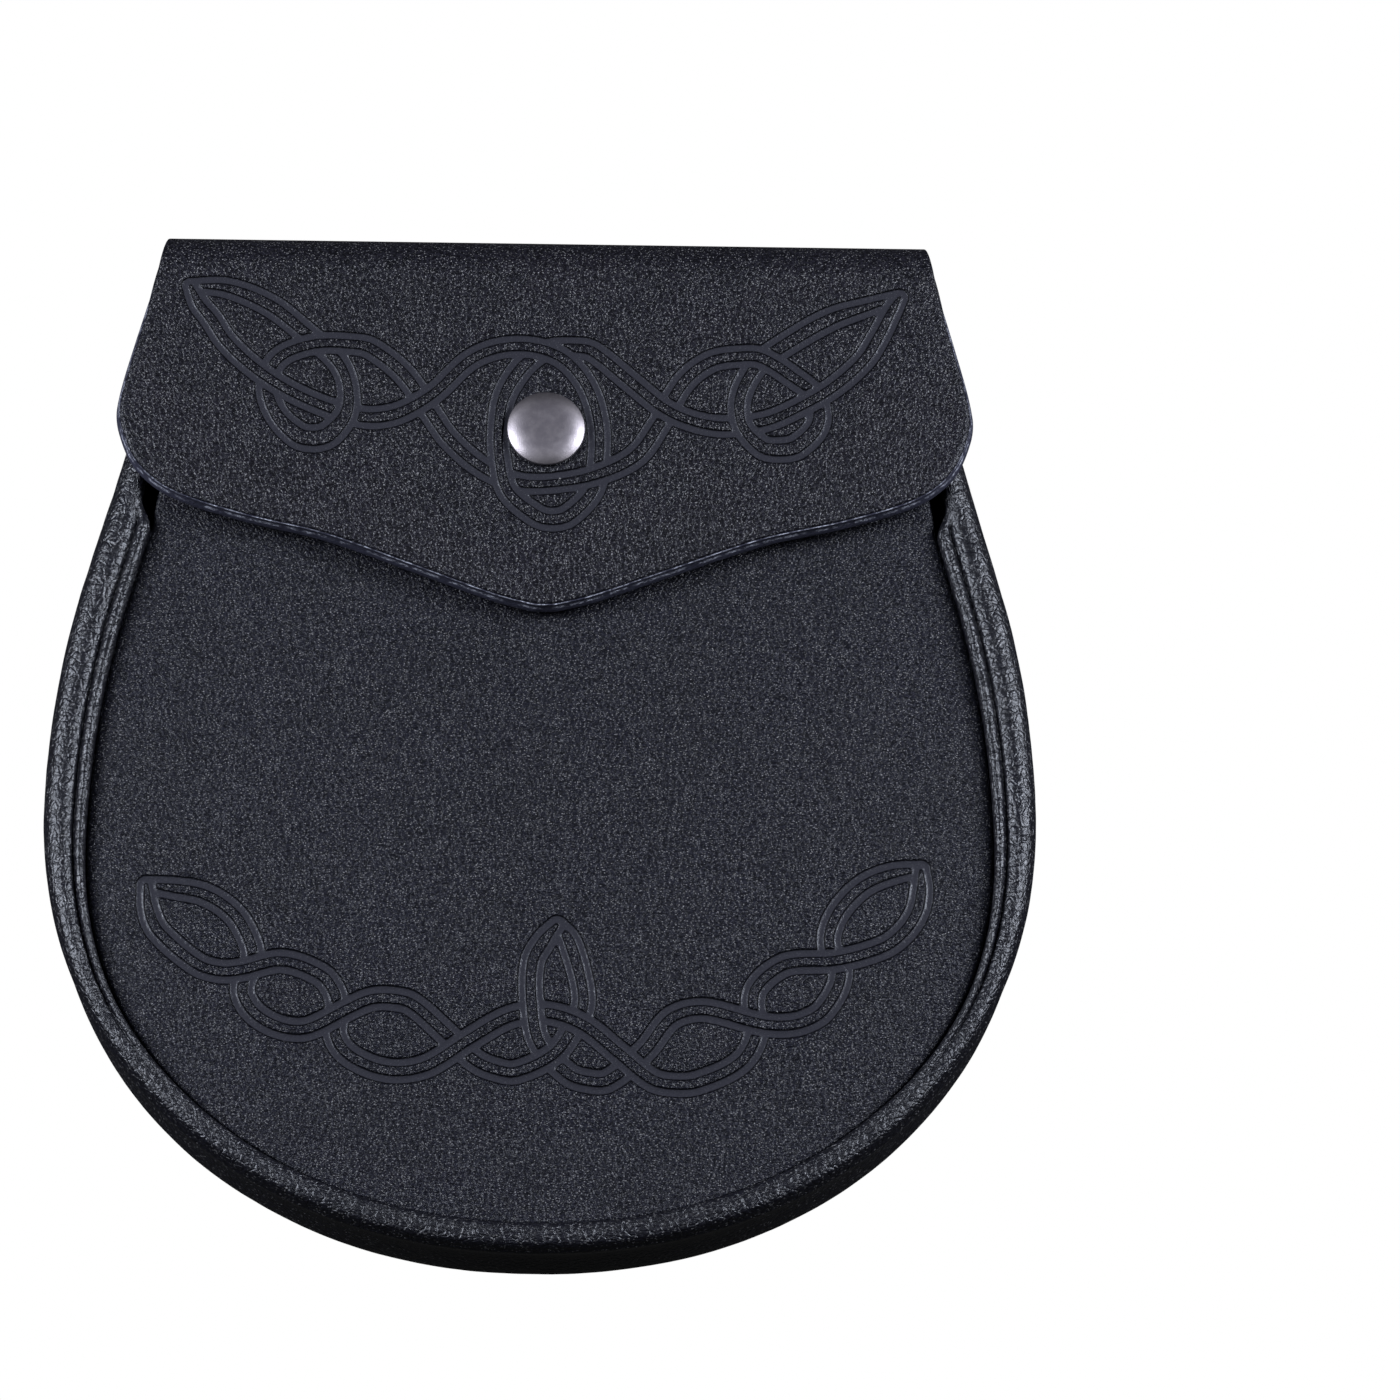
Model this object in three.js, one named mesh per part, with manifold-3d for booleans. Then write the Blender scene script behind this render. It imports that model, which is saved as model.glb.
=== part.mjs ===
// A sporran pouch of stiff black leather, lying on its back.
// Millimetres. +Z points up out of the pouch's front, +Y towards the fold at its top, +X to the right.
// The origin is on the surface that the pouch lies on, under the middle of its bounding box.

import * as THREE from 'three';
import { mergeVertices } from 'three/addons/utils/BufferGeometryUtils.js';
import Module from 'manifold-3d';

// The body, seen from the front
const BODY_HALF_WIDTH = 96.2;
const BODY_LENGTH = 208;
const WIDEST_ABOVE_BOTTOM = 88;
const BOTTOM_SQUARENESS = 2.11;
const SIDE_RADIUS = 181;
const SIDE_TAPER = THREE.MathUtils.degToRad(14.5);

// Heights of the gusset's front roll above the floor
const THICKNESS_AT_BOTTOM = 27.5;
const THICKNESS_AT_TOP = 22.5;

// Leather
const FLAP_LEATHER = 2.8;
const PANEL_LEATHER = 2.5;
const GUSSET_LEATHER = 1.7;
const LOOP_LEATHER = 1.8;
const CLEARANCE = 0.3;

// The gusset: how wide it shows beside the panels, how far its roll stands above the front panel, and how
// far its side dips in between the front roll and the back roll
const GUSSET_WIDTH_AT_SIDES = 9.4;
const GUSSET_WIDTH_AT_BOTTOM = 5.4;
const ROLL_HEIGHT = 3;
const SIDE_DIP = 1.5;
const GUSSET_END_BELOW_TOP = 24.5;
const FRONT_SEAM_END_BELOW_TOP = 61.5;
const SEAM_END_LENGTH = 6;

// The front panel
const PANEL_TOP_BELOW_TOP = 26.5;
const PANEL_CROWN = 1.5;

// The flap
const FLAP_HALF_WIDTH = 85;
const FLAP_TIP_BELOW_TOP = 80.9;
const FOLD_HALF_WIDTH = 75.2;

// The snap fastener
const SNAP_BELOW_TOP = 43.6;
const CAP_RADIUS = 7.75;
const CAP_HEIGHT = 2.2;
const CAP_RIM = 0.5;
const DOME_FLATNESS = 2.6;
const CAP_POST_RADIUS = 2.2;
const SOCKET_RADIUS = 5.6;
const SOCKET_HOLLOW_RADIUS = 3;
const SOCKET_ROOF = 0.6;
const STUD_POST_RADIUS = 1.5;
const STUD_HEAD_RADIUS = 4.4;
const STUD_PLATE = 0.6;
const KNOB_TOP_SHARE = 0.85;
const KNOB_NECK_SHARE = 0.8;

// The belt loops on the back
const LOOP_WIDTH = 25;
const LOOP_GAP = 4.4;
const LOOP_CLEAR_LENGTH = 27;
const LOOP_FOOT = 9;
const LOOP_SPACING = 84;
const LOOP_MIDDLE_BELOW_TOP = 37;

// Worked out from the sizes above
const TOP = BODY_LENGTH / 2;
const BOTTOM = -BODY_LENGTH / 2;
const WIDEST = BOTTOM + WIDEST_ABOVE_BOTTOM;
const BACK_FACE = LOOP_LEATHER + LOOP_GAP;
const FRONT_SLOPE = (THICKNESS_AT_TOP - THICKNESS_AT_BOTTOM) / BODY_LENGTH;
const FRONT_TILT = Math.atan(FRONT_SLOPE);
const GUSSET_END = TOP - GUSSET_END_BELOW_TOP;
const FRONT_SEAM_END = TOP - FRONT_SEAM_END_BELOW_TOP;
const SNAP_Y = TOP - SNAP_BELOW_TOP;

// Height of the front roll's crest, which the flap rests on and the front panel lies below
function crest(y) {
  return THICKNESS_AT_BOTTOM + FRONT_SLOPE * (y - BOTTOM);
}

function panelTop(y) {
  return crest(y) - ROLL_HEIGHT;
}

function flapTop(y) {
  return crest(y) + CLEARANCE + FLAP_LEATHER;
}

// The gusset's section, from its seam beside a panel to its outer side. Inward is a share of the
// gusset's width and depth a share of the roll's height, counted from the roll's crest. Plain is the
// depth round the bottom, where the ridge and its groove fade into one plain roll. Foot says how far
// the inside of the wall goes down to the foot beside the panel's edge, where the seam is turned in.
const SEWN_SECTION = [
  { name: 'seam', inward: 1.0, depth: 0.3, plain: 0.34, foot: 1.0 },
  { name: 'ridge edge', inward: 0.95, depth: 0.12, plain: 0.16, foot: 1.0 },
  { name: 'ridge', inward: 0.87, depth: 0.06, plain: 0.06, foot: 1.0 },
  { name: 'ridge foot', inward: 0.79, depth: 0.2, plain: 0.02, foot: 0.85 },
  { name: 'groove', inward: 0.72, depth: 0.5, plain: 0.0, foot: 0.35 },
  { name: 'roll foot', inward: 0.64, depth: 0.2, plain: 0.0, foot: 0.05 },
  { name: 'roll crest', inward: 0.44, depth: 0.0, plain: 0.02, foot: 0.0 },
  { name: 'roll shoulder', inward: 0.22, depth: 0.16, plain: 0.2, foot: 0.0 },
  { name: 'roll side', inward: 0.07, depth: 0.7, plain: 0.75, foot: 0.0 },
  { name: 'wall', inward: 0.01, depth: 1.5, plain: 1.5, foot: 0.0 },
];

// The same section above the end of the front seam, where the roll's edge is free at the pouch's mouth
const OPEN_SECTION = [
  { name: 'seam', inward: 0.65, depth: 0.75, foot: 0.0 },
  { name: 'ridge edge', inward: 0.655, depth: 0.62, foot: 0.0 },
  { name: 'ridge', inward: 0.645, depth: 0.48, foot: 0.0 },
  { name: 'ridge foot', inward: 0.62, depth: 0.32, foot: 0.0 },
  { name: 'groove', inward: 0.575, depth: 0.16, foot: 0.0 },
  { name: 'roll foot', inward: 0.51, depth: 0.05, foot: 0.0 },
  ...SEWN_SECTION.slice(6),
];

// The flap's outline, from the end of the fold to its tip
const FLAP_OUTLINE = [
  { along: 0.0, half: 0.914 },
  { along: 0.21, half: 0.963 },
  { along: 0.41, half: 1.0 },
  { along: 0.49, half: 0.993 },
  { along: 0.595, half: 0.952 },
  { along: 0.675, half: 0.87 },
  { along: 0.745, half: 0.7 },
  { along: 0.8, half: 0.51 },
  { along: 0.9, half: 0.28 },
  { along: 0.975, half: 0.11 },
  { along: 1.0, half: 0.03 },
];

function smoothStep(from, to, value) {
  return THREE.MathUtils.smoothstep(value, from, to);
}

// One side of the body's outline, from its bottom up to the height given, each station with the
// direction inwards: a rounded bottom, a large arc past the widest place, and a straight taper
const STEPS_OF_BOTTOM = 15;
const STEPS_OF_SIDE = 5;
const STEPS_OF_SEAM_END = 3;
const STEPS_OF_TAPER = 5;
const SHORTEST_STRIP = 1;

function bodySide(top) {
  const side = [];
  for (let step = 0; step <= STEPS_OF_BOTTOM; step++) {
    const angle = (Math.PI / 2) * (1 - step / STEPS_OF_BOTTOM);
    const across = Math.max(0, Math.cos(angle)) ** (2 / BOTTOM_SQUARENESS);
    const down = Math.max(0, Math.sin(angle)) ** (2 / BOTTOM_SQUARENESS);
    const slopeX = across ** (BOTTOM_SQUARENESS - 1) / BODY_HALF_WIDTH;
    const slopeY = down ** (BOTTOM_SQUARENESS - 1) / WIDEST_ABOVE_BOTTOM;
    const length = Math.hypot(slopeX, slopeY);
    side.push({
      x: BODY_HALF_WIDTH * across,
      y: WIDEST - WIDEST_ABOVE_BOTTOM * down,
      inX: -slopeX / length,
      inY: slopeY / length,
    });
  }
  for (let step = 1; step <= STEPS_OF_SIDE; step++) {
    const angle = (SIDE_TAPER * step) / STEPS_OF_SIDE;
    side.push({
      x: BODY_HALF_WIDTH - SIDE_RADIUS * (1 - Math.cos(angle)),
      y: WIDEST + SIDE_RADIUS * Math.sin(angle),
      inX: -Math.cos(angle),
      inY: -Math.sin(angle),
    });
  }
  const start = side[side.length - 1];
  const heights = [];
  for (let step = 0; step <= STEPS_OF_SEAM_END; step++) {
    heights.push(FRONT_SEAM_END + (SEAM_END_LENGTH * step) / STEPS_OF_SEAM_END);
  }
  const last = heights[heights.length - 1];
  for (let step = 1; step <= STEPS_OF_TAPER; step++) {
    heights.push(last + ((top - last) * step) / STEPS_OF_TAPER);
  }
  for (const y of heights.filter((height) => height > start.y + SHORTEST_STRIP)) {
    side.push({ ...start, x: start.x - (y - start.y) * Math.tan(SIDE_TAPER), y });
  }
  return side;
}

// The gusset narrows, and its ridge fades, as its inward direction turns upwards round the bottom
const NARROWING = { from: -0.25, to: 0.6 };
const FADING = { from: 0.35, to: 0.8 };

function gussetWidth(station) {
  const narrow = smoothStep(NARROWING.from, NARROWING.to, station.inY);
  return THREE.MathUtils.lerp(GUSSET_WIDTH_AT_SIDES, GUSSET_WIDTH_AT_BOTTOM, narrow);
}

// The line that the panels end on: the gusset's inner edge, moved inwards by a clearance
const NARROWEST_ROW = 1.5;

function panelSide(clearance) {
  return bodySide(GUSSET_END).map((station) => {
    const reach = gussetWidth(station) + clearance;
    return {
      half: Math.max(NARROWEST_ROW, station.x + station.inX * reach),
      y: station.y + station.inY * reach,
    };
  });
}

// A closed mesh from rings of points: each ring is one closed section, and the two ends are closed by
// strips between the ring's first half and its second
function lofted(rings) {
  const size = rings[0].length;
  const positions = rings.flat(2);
  const index = [];
  const at = (ring, point) => ring * size + (point % size);
  for (let ring = 0; ring < rings.length - 1; ring++) {
    for (let point = 0; point < size; point++) {
      index.push(at(ring, point), at(ring, point + 1), at(ring + 1, point + 1));
      index.push(at(ring, point), at(ring + 1, point + 1), at(ring + 1, point));
    }
  }
  const last = rings.length - 1;
  for (let point = 0; point < size / 2 - 1; point++) {
    const back = size - 1 - point;
    index.push(at(0, point), at(0, back), at(0, back - 1));
    index.push(at(0, point), at(0, back - 1), at(0, point + 1));
    index.push(at(last, point), at(last, back - 1), at(last, back));
    index.push(at(last, point), at(last, point + 1), at(last, back - 1));
  }
  const geometry = new THREE.BufferGeometry();
  geometry.setAttribute('position', new THREE.Float32BufferAttribute(positions, 3));
  geometry.setIndex(index);
  return facingOut(geometry);
}

// Turns the faces over if they point inwards
function facingOut(geometry) {
  const place = geometry.getAttribute('position');
  const index = geometry.getIndex().array;
  const corner = [new THREE.Vector3(), new THREE.Vector3(), new THREE.Vector3()];
  let volume = 0;
  for (let face = 0; face < index.length; face += 3) {
    corner.forEach((point, turn) => point.fromBufferAttribute(place, index[face + turn]));
    volume += corner[0].dot(corner[1].clone().cross(corner[2]));
  }
  if (volume < 0) {
    for (let face = 0; face < index.length; face += 3) {
      [index[face + 1], index[face + 2]] = [index[face + 2], index[face + 1]];
    }
  }
  geometry.computeVertexNormals();
  return geometry;
}

// A leather sheet from rows across it. A row has its half width, its place and its outward direction
// in the plane x = 0, and the sheet's crown in the row's middle.
function leatherSheet(rows, thickness, columns) {
  const rings = rows.map((row) => {
    const outer = [];
    const inner = [];
    for (let column = 0; column <= columns; column++) {
      const across = (2 * column) / columns - 1;
      const rise = (row.crown ?? 0) * (1 - across ** 2);
      const y = row.y + row.outY * rise;
      const z = row.z + row.outZ * rise;
      outer.push([across * row.half, y, z]);
      inner.push([across * row.half, y - row.outY * thickness, z - row.outZ * thickness]);
    }
    return [...outer, ...inner.reverse()];
  });
  return lofted(rings);
}

const wasm = await Module();
wasm.setup();

const SAME_POINT = 1e-4;

function solidOf(geometry) {
  const bare = geometry.clone();
  bare.deleteAttribute('normal');
  bare.deleteAttribute('uv');
  const merged = mergeVertices(bare, SAME_POINT);
  return new wasm.Manifold(new wasm.Mesh({
    numProp: 3,
    vertProperties: new Float32Array(merged.getAttribute('position').array),
    triVerts: new Uint32Array(merged.getIndex().array),
  }));
}

function cut(geometry, tool) {
  const mesh = solidOf(geometry).subtract(solidOf(tool)).getMesh();
  const result = new THREE.BufferGeometry();
  result.setAttribute('position', new THREE.BufferAttribute(mesh.vertProperties, 3));
  result.setIndex(new THREE.BufferAttribute(mesh.triVerts, 1));
  result.computeVertexNormals();
  return result;
}

// The hole that a snap's post passes through, square to the pouch's front
const HOLE_SIDES = 24;
const HOLE_LENGTH = 4 * FLAP_LEATHER;

function snapHole(postRadius, height) {
  const radius = postRadius + CLEARANCE;
  const hole = new THREE.CylinderGeometry(radius, radius, HOLE_LENGTH, HOLE_SIDES);
  hole.rotateX(Math.PI / 2 + FRONT_TILT);
  hole.translate(0, SNAP_Y, height);
  return hole;
}

// Half of the gusset's section at one station, as the outer skin and the inside of the wall. Points
// hold their way inwards and their depth below the crest, in millimetres.
function halfSection(width, open, plain, footDepth) {
  const outer = SEWN_SECTION.map((sewn, row) => {
    const depth = THREE.MathUtils.lerp(sewn.depth, sewn.plain, plain);
    return {
      inward: width * THREE.MathUtils.lerp(sewn.inward, OPEN_SECTION[row].inward, open),
      depth: ROLL_HEIGHT * THREE.MathUtils.lerp(depth, OPEN_SECTION[row].depth, open),
      foot: THREE.MathUtils.lerp(sewn.foot, OPEN_SECTION[row].foot, open),
    };
  });
  const inner = outer.map((point, row) => {
    const before = outer[Math.max(0, row - 1)];
    const after = outer[Math.min(outer.length - 1, row + 1)];
    const alongInward = after.inward - before.inward;
    const alongDepth = after.depth - before.depth;
    const length = Math.hypot(alongInward, alongDepth);
    const wallInward = point.inward + (GUSSET_LEATHER * alongDepth) / length;
    const wallDepth = point.depth - (GUSSET_LEATHER * alongInward) / length;
    return {
      inward: THREE.MathUtils.lerp(wallInward, point.inward, point.foot),
      depth: THREE.MathUtils.lerp(wallDepth, footDepth, point.foot),
    };
  });
  return { outer, inner };
}

// The gusset, a roll of soft leather swept down one side, round the bottom and up the other
function gussetRing(station, mirror) {
  const width = gussetWidth(station);
  const open = smoothStep(FRONT_SEAM_END, FRONT_SEAM_END + SEAM_END_LENGTH, station.y);
  const place = (inward, height) => {
    const y = station.y + station.inY * inward;
    return [mirror * (station.x + station.inX * inward), y, height(y)];
  };
  const plain = smoothStep(FADING.from, FADING.to, station.inY);
  const front = halfSection(width, open, plain, ROLL_HEIGHT + PANEL_LEATHER + CLEARANCE);
  const back = halfSection(width, 0, plain, BACK_FACE + FLAP_LEATHER + CLEARANCE);
  const inFront = (point) => place(point.inward, (y) => crest(y) - point.depth);
  const behind = (point) => place(point.inward, () => point.depth);
  const middle = (inward) => place(inward, (y) => crest(y) / 2);
  const outer = [
    ...front.outer.map(inFront), middle(SIDE_DIP), ...back.outer.map(behind).reverse(),
  ];
  const inner = [
    ...front.inner.map(inFront),
    middle(SIDE_DIP + GUSSET_LEATHER),
    ...back.inner.map(behind).reverse(),
  ];
  return [...outer, ...inner.reverse()];
}

function makeGusset() {
  const side = bodySide(GUSSET_END);
  const left = side.slice(1).reverse().map((station) => gussetRing(station, -1));
  const right = side.map((station) => gussetRing(station, 1));
  return lofted([...left, ...right]);
}

// The front panel, inside the gusset up to the end of the front seam, then round its free top corners
const STEPS_OF_CORNER = 7;
const PANEL_COLUMNS = 8;

function makeFrontPanel() {
  const sewn = panelSide(CLEARANCE).filter((point) => point.y <= FRONT_SEAM_END);
  const start = sewn[sewn.length - 1];
  const corner = TOP - PANEL_TOP_BELOW_TOP - start.y;
  const free = [];
  for (let step = 1; step <= STEPS_OF_CORNER; step++) {
    const angle = ((Math.PI / 2) * step) / STEPS_OF_CORNER;
    free.push({
      half: start.half - corner * (1 - Math.cos(angle)),
      y: start.y + corner * Math.sin(angle),
    });
  }
  const low = sewn[0].y;
  const rows = [...sewn, ...free].map((point) => ({
    ...point,
    z: panelTop(point.y),
    outY: 0,
    outZ: 1,
    crown: PANEL_CROWN * Math.sin(Math.PI * smoothStep(low, start.y, point.y)),
  }));
  const panel = leatherSheet(rows, PANEL_LEATHER, PANEL_COLUMNS);
  return cut(panel, snapHole(STUD_POST_RADIUS, panelTop(SNAP_Y)));
}

// The back panel, the fold over the top and the flap, one sheet that runs up the back and down the front
const STEPS_OF_SHOULDER = 4;
const STEPS_OF_FOLD = 10;
const STEPS_OF_FLAP = 28;
const FLAP_COLUMNS = 4;

function makeBackAndFlap() {
  const foldRadius = (flapTop(TOP) - BACK_FACE) / (1 + 1 / Math.cos(FRONT_TILT) + FRONT_SLOPE);
  const foldY = TOP - foldRadius;
  const back = panelSide(CLEARANCE).map((point) => ({ ...point, z: BACK_FACE, outY: 0, outZ: -1 }));
  const sewn = back[back.length - 1];
  for (let step = 1; step <= STEPS_OF_SHOULDER; step++) {
    const share = step / STEPS_OF_SHOULDER;
    back.push({
      half: THREE.MathUtils.lerp(sewn.half, FOLD_HALF_WIDTH, smoothStep(0, 1, share)),
      y: THREE.MathUtils.lerp(GUSSET_END + CLEARANCE, foldY, share),
      z: BACK_FACE,
      outY: 0,
      outZ: -1,
    });
  }
  const flapStartHalf = FLAP_OUTLINE[0].half * FLAP_HALF_WIDTH;
  const fold = [];
  for (let step = 1; step <= STEPS_OF_FOLD; step++) {
    const share = step / STEPS_OF_FOLD;
    const angle = THREE.MathUtils.lerp(-Math.PI / 2, Math.PI / 2 + FRONT_TILT, share);
    fold.push({
      half: THREE.MathUtils.lerp(FOLD_HALF_WIDTH, flapStartHalf, share ** 2),
      y: foldY + foldRadius * Math.cos(angle),
      z: BACK_FACE + foldRadius * (1 + Math.sin(angle)),
      outY: Math.cos(angle),
      outZ: Math.sin(angle),
    });
  }
  const end = fold[fold.length - 1];
  const length = end.y - (TOP - FLAP_TIP_BELOW_TOP);
  const outline = new THREE.SplineCurve(
    FLAP_OUTLINE.map((row) => new THREE.Vector2(row.half * FLAP_HALF_WIDTH, row.along * length)),
  );
  const flap = outline.getSpacedPoints(STEPS_OF_FLAP).slice(1).map((point) => ({
    half: point.x,
    y: end.y - point.y,
    z: flapTop(end.y - point.y),
    outY: end.outY,
    outZ: end.outZ,
  }));
  const sheet = leatherSheet([...back, ...fold, ...flap], FLAP_LEATHER, FLAP_COLUMNS);
  return cut(sheet, snapHole(CAP_POST_RADIUS, flapTop(SNAP_Y)));
}

// The snap fastener's two parts are turned. A profile's points are a radius and a height above the
// outer face of the leather that the part is riveted through.
const SNAP_SIDES = 32;
const STEPS_OF_DOME = 6;

function turned(profile) {
  const geometry = new THREE.LatheGeometry(
    profile.map(([radius, height]) => new THREE.Vector2(radius, height)), SNAP_SIDES,
  );
  geometry.rotateX(Math.PI / 2);
  return facingOut(geometry);
}

const SNAP_SPACE = ROLL_HEIGHT + CLEARANCE;
const STUD_PLATE_TOP = CLEARANCE + STUD_PLATE;
const SOCKET_DEPTH = SNAP_SPACE - STUD_PLATE_TOP - CLEARANCE;

// The domed cap, its post through the flap and the socket that the post ends in
function makeSnapCap() {
  const dome = [];
  const rimHeight = CLEARANCE + CAP_RIM;
  for (let step = 0; step <= STEPS_OF_DOME; step++) {
    const share = step / STEPS_OF_DOME;
    const fall = share ** DOME_FLATNESS;
    dome.push([CAP_RADIUS * share, rimHeight + (CAP_HEIGHT - rimHeight) * (1 - fall)]);
  }
  const under = -FLAP_LEATHER;
  return turned([
    ...dome,
    [CAP_RADIUS - CAP_RIM / 2, CLEARANCE],
    [CAP_POST_RADIUS, CLEARANCE],
    [CAP_POST_RADIUS, under - CLEARANCE],
    [SOCKET_RADIUS, under - CLEARANCE],
    [SOCKET_RADIUS, under - SOCKET_DEPTH],
    [SOCKET_HOLLOW_RADIUS, under - SOCKET_DEPTH],
    [SOCKET_HOLLOW_RADIUS, under - CLEARANCE - SOCKET_ROOF],
    [0, under - CLEARANCE - SOCKET_ROOF],
  ]);
}

// The stud that the socket closes on, with its plate on the front panel and its head inside the pouch
function makeSnapStud() {
  const knobRadius = SOCKET_HOLLOW_RADIUS - CLEARANCE;
  const knobTop = SNAP_SPACE - CLEARANCE - SOCKET_ROOF - CLEARANCE;
  const neckTop = (STUD_PLATE_TOP + knobTop) / 2;
  const under = -PANEL_LEATHER - CLEARANCE;
  return turned([
    [0, knobTop],
    [knobRadius * KNOB_TOP_SHARE, knobTop],
    [knobRadius, neckTop],
    [knobRadius * KNOB_NECK_SHARE, STUD_PLATE_TOP],
    [SOCKET_RADIUS, STUD_PLATE_TOP],
    [SOCKET_RADIUS, CLEARANCE],
    [STUD_POST_RADIUS, CLEARANCE],
    [STUD_POST_RADIUS, under],
    [STUD_HEAD_RADIUS, under],
    [STUD_HEAD_RADIUS, under - STUD_PLATE],
    [0, under - STUD_PLATE],
  ]);
}

// A belt loop: a strip with two feet against the back panel, bent away from it in between
const BEND_INSIDE = 0.6;
const STEPS_OF_BEND = 5;

function makeBeltLoop() {
  const bend = BEND_INSIDE + LOOP_LEATHER;
  const run = LOOP_CLEAR_LENGTH / 2 - BEND_INSIDE;
  const end = run + bend + LOOP_FOOT;
  const footTop = BACK_FACE - CLEARANCE;
  const footUnder = footTop - LOOP_LEATHER;
  const quarter = Math.PI / 2;
  const strip = new THREE.Shape();
  strip.moveTo(-run, 0);
  strip.lineTo(run, 0);
  strip.absarc(run, bend, bend, -quarter, 0, false);
  strip.lineTo(run + bend, footUnder);
  strip.lineTo(end, footUnder);
  strip.lineTo(end, footTop);
  strip.absarc(run + BEND_INSIDE + bend, footTop - bend, bend, quarter, 2 * quarter, false);
  strip.absarc(run, bend, BEND_INSIDE, 0, -quarter, true);
  strip.absarc(-run, bend, BEND_INSIDE, -quarter, -2 * quarter, true);
  strip.absarc(-run - BEND_INSIDE - bend, footTop - bend, bend, 0, quarter, false);
  strip.lineTo(-end, footTop);
  strip.lineTo(-end, footUnder);
  strip.lineTo(-run - bend, footUnder);
  strip.absarc(-run, bend, bend, 2 * quarter, 3 * quarter, false);
  const loop = new THREE.ExtrudeGeometry(strip, {
    depth: LOOP_WIDTH, bevelEnabled: false, curveSegments: STEPS_OF_BEND,
  });
  loop.translate(0, 0, -LOOP_WIDTH / 2);
  loop.applyMatrix4(new THREE.Matrix4().makeBasis(
    new THREE.Vector3(0, 1, 0), new THREE.Vector3(0, 0, 1), new THREE.Vector3(1, 0, 0),
  ));
  return loop;
}

const stiffLeather = new THREE.MeshStandardMaterial({ color: 0x1d1e26, roughness: 0.6, metalness: 0 });
const softLeather = new THREE.MeshStandardMaterial({ color: 0x191a22, roughness: 0.45, metalness: 0 });
const metal = new THREE.MeshStandardMaterial({ color: 0x77757c, roughness: 0.3, metalness: 1 });

const pouch = new THREE.Group();

function add(name, geometry, material) {
  const mesh = new THREE.Mesh(geometry, material);
  mesh.name = name;
  pouch.add(mesh);
  return mesh;
}

add('back_and_flap', makeBackAndFlap(), stiffLeather.clone());
add('front_panel', makeFrontPanel(), stiffLeather.clone());
add('gusset', makeGusset(), softLeather.clone());

const snapParts = [
  { name: 'snap_cap', geometry: makeSnapCap(), height: flapTop(SNAP_Y) },
  { name: 'snap_stud', geometry: makeSnapStud(), height: panelTop(SNAP_Y) },
];
for (const part of snapParts) {
  const mesh = add(part.name, part.geometry, metal.clone());
  mesh.rotation.x = FRONT_TILT;
  mesh.position.set(0, SNAP_Y, part.height);
}

for (const [name, side] of [['belt_loop_left', -1], ['belt_loop_right', 1]]) {
  const mesh = add(name, makeBeltLoop(), stiffLeather.clone());
  mesh.position.set((side * LOOP_SPACING) / 2, TOP - LOOP_MIDDLE_BELOW_TOP, 0);
}

export default pouch;
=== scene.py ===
"""A sporran pouch of stiff black leather, dressed over its packed solids.

Metres, in the frame of the solids: +Z points up out of the pouch's front, +Y towards the fold at its top and
+X to the right. Lengths that repeat the solids' own sizes are in millimetres, and MM turns them into metres.
"""

import math

import bpy
import numpy as np
from mathutils import Matrix, Vector, noise


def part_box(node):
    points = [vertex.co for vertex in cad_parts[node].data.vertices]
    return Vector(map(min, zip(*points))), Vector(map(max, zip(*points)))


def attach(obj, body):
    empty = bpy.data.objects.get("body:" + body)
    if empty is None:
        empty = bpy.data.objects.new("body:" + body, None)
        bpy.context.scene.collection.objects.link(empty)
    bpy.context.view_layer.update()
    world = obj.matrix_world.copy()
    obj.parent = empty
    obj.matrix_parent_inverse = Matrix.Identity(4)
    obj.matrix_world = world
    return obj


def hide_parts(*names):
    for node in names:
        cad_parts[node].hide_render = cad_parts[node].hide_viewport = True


bl_info = {
    "name": "Sporran pouch",
    "version": (1, 0, 0),
    "blender": (4, 5, 0),
    "location": "3D View > Sidebar > Pouch",
    "description": "Leather, knotwork, snap and studio for a sporran pouch",
    "category": "Add Mesh",
}

MM = 0.001

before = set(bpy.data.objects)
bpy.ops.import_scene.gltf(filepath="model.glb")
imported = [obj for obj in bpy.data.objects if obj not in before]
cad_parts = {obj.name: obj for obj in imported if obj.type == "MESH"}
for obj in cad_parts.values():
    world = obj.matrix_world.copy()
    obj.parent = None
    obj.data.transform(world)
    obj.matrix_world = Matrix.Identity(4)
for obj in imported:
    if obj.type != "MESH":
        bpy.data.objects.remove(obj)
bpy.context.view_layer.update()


def from_frame(node, corner, axis):
    """A side of a solid's box, in millimetres."""
    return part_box(node)[corner][axis] / MM


LOW, HIGH = 0, 1
X, Y, Z = 0, 1, 2

# The body and its leather, as the solids have them
TOP = from_frame("back_and_flap", HIGH, Y)
BOTTOM = -TOP
BODY_HALF_WIDTH = from_frame("gusset", HIGH, X)
WIDEST_ABOVE_BOTTOM = 88.0
BOTTOM_SQUARENESS = 2.11
SIDE_RADIUS = 181.0
SIDE_TAPER = math.radians(14.5)
THICKNESS_AT_BOTTOM = 27.5
THICKNESS_AT_TOP = 22.5
FLAP_LEATHER = 2.8
PANEL_LEATHER = 2.5
GUSSET_LEATHER = 1.7
LOOP_LEATHER = 1.8
CLEARANCE = 0.3
GUSSET_WIDTH_AT_SIDES = 9.4
GUSSET_WIDTH_AT_BOTTOM = 5.4
NARROWING = (-0.25, 0.6)
FADING = (0.35, 0.8)
ROLL_HEIGHT = 3.0
SIDE_DIP = 1.5
GUSSET_END = from_frame("gusset", HIGH, Y)
FRONT_SEAM_END = TOP - 61.5
SEAM_END_LENGTH = 6.0
PANEL_TOP = from_frame("front_panel", HIGH, Y)
PANEL_CROWN = 1.5
FLAP_HALF_WIDTH = 85.0
FLAP_TIP = TOP - 80.9
FOLD_HALF_WIDTH = 75.2
SNAP_Y = TOP - 43.6
CAP_RADIUS = 7.75
CAP_HEIGHT = 2.2
CAP_RIM = 0.5
CAP_POST_RADIUS = 2.2
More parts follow.
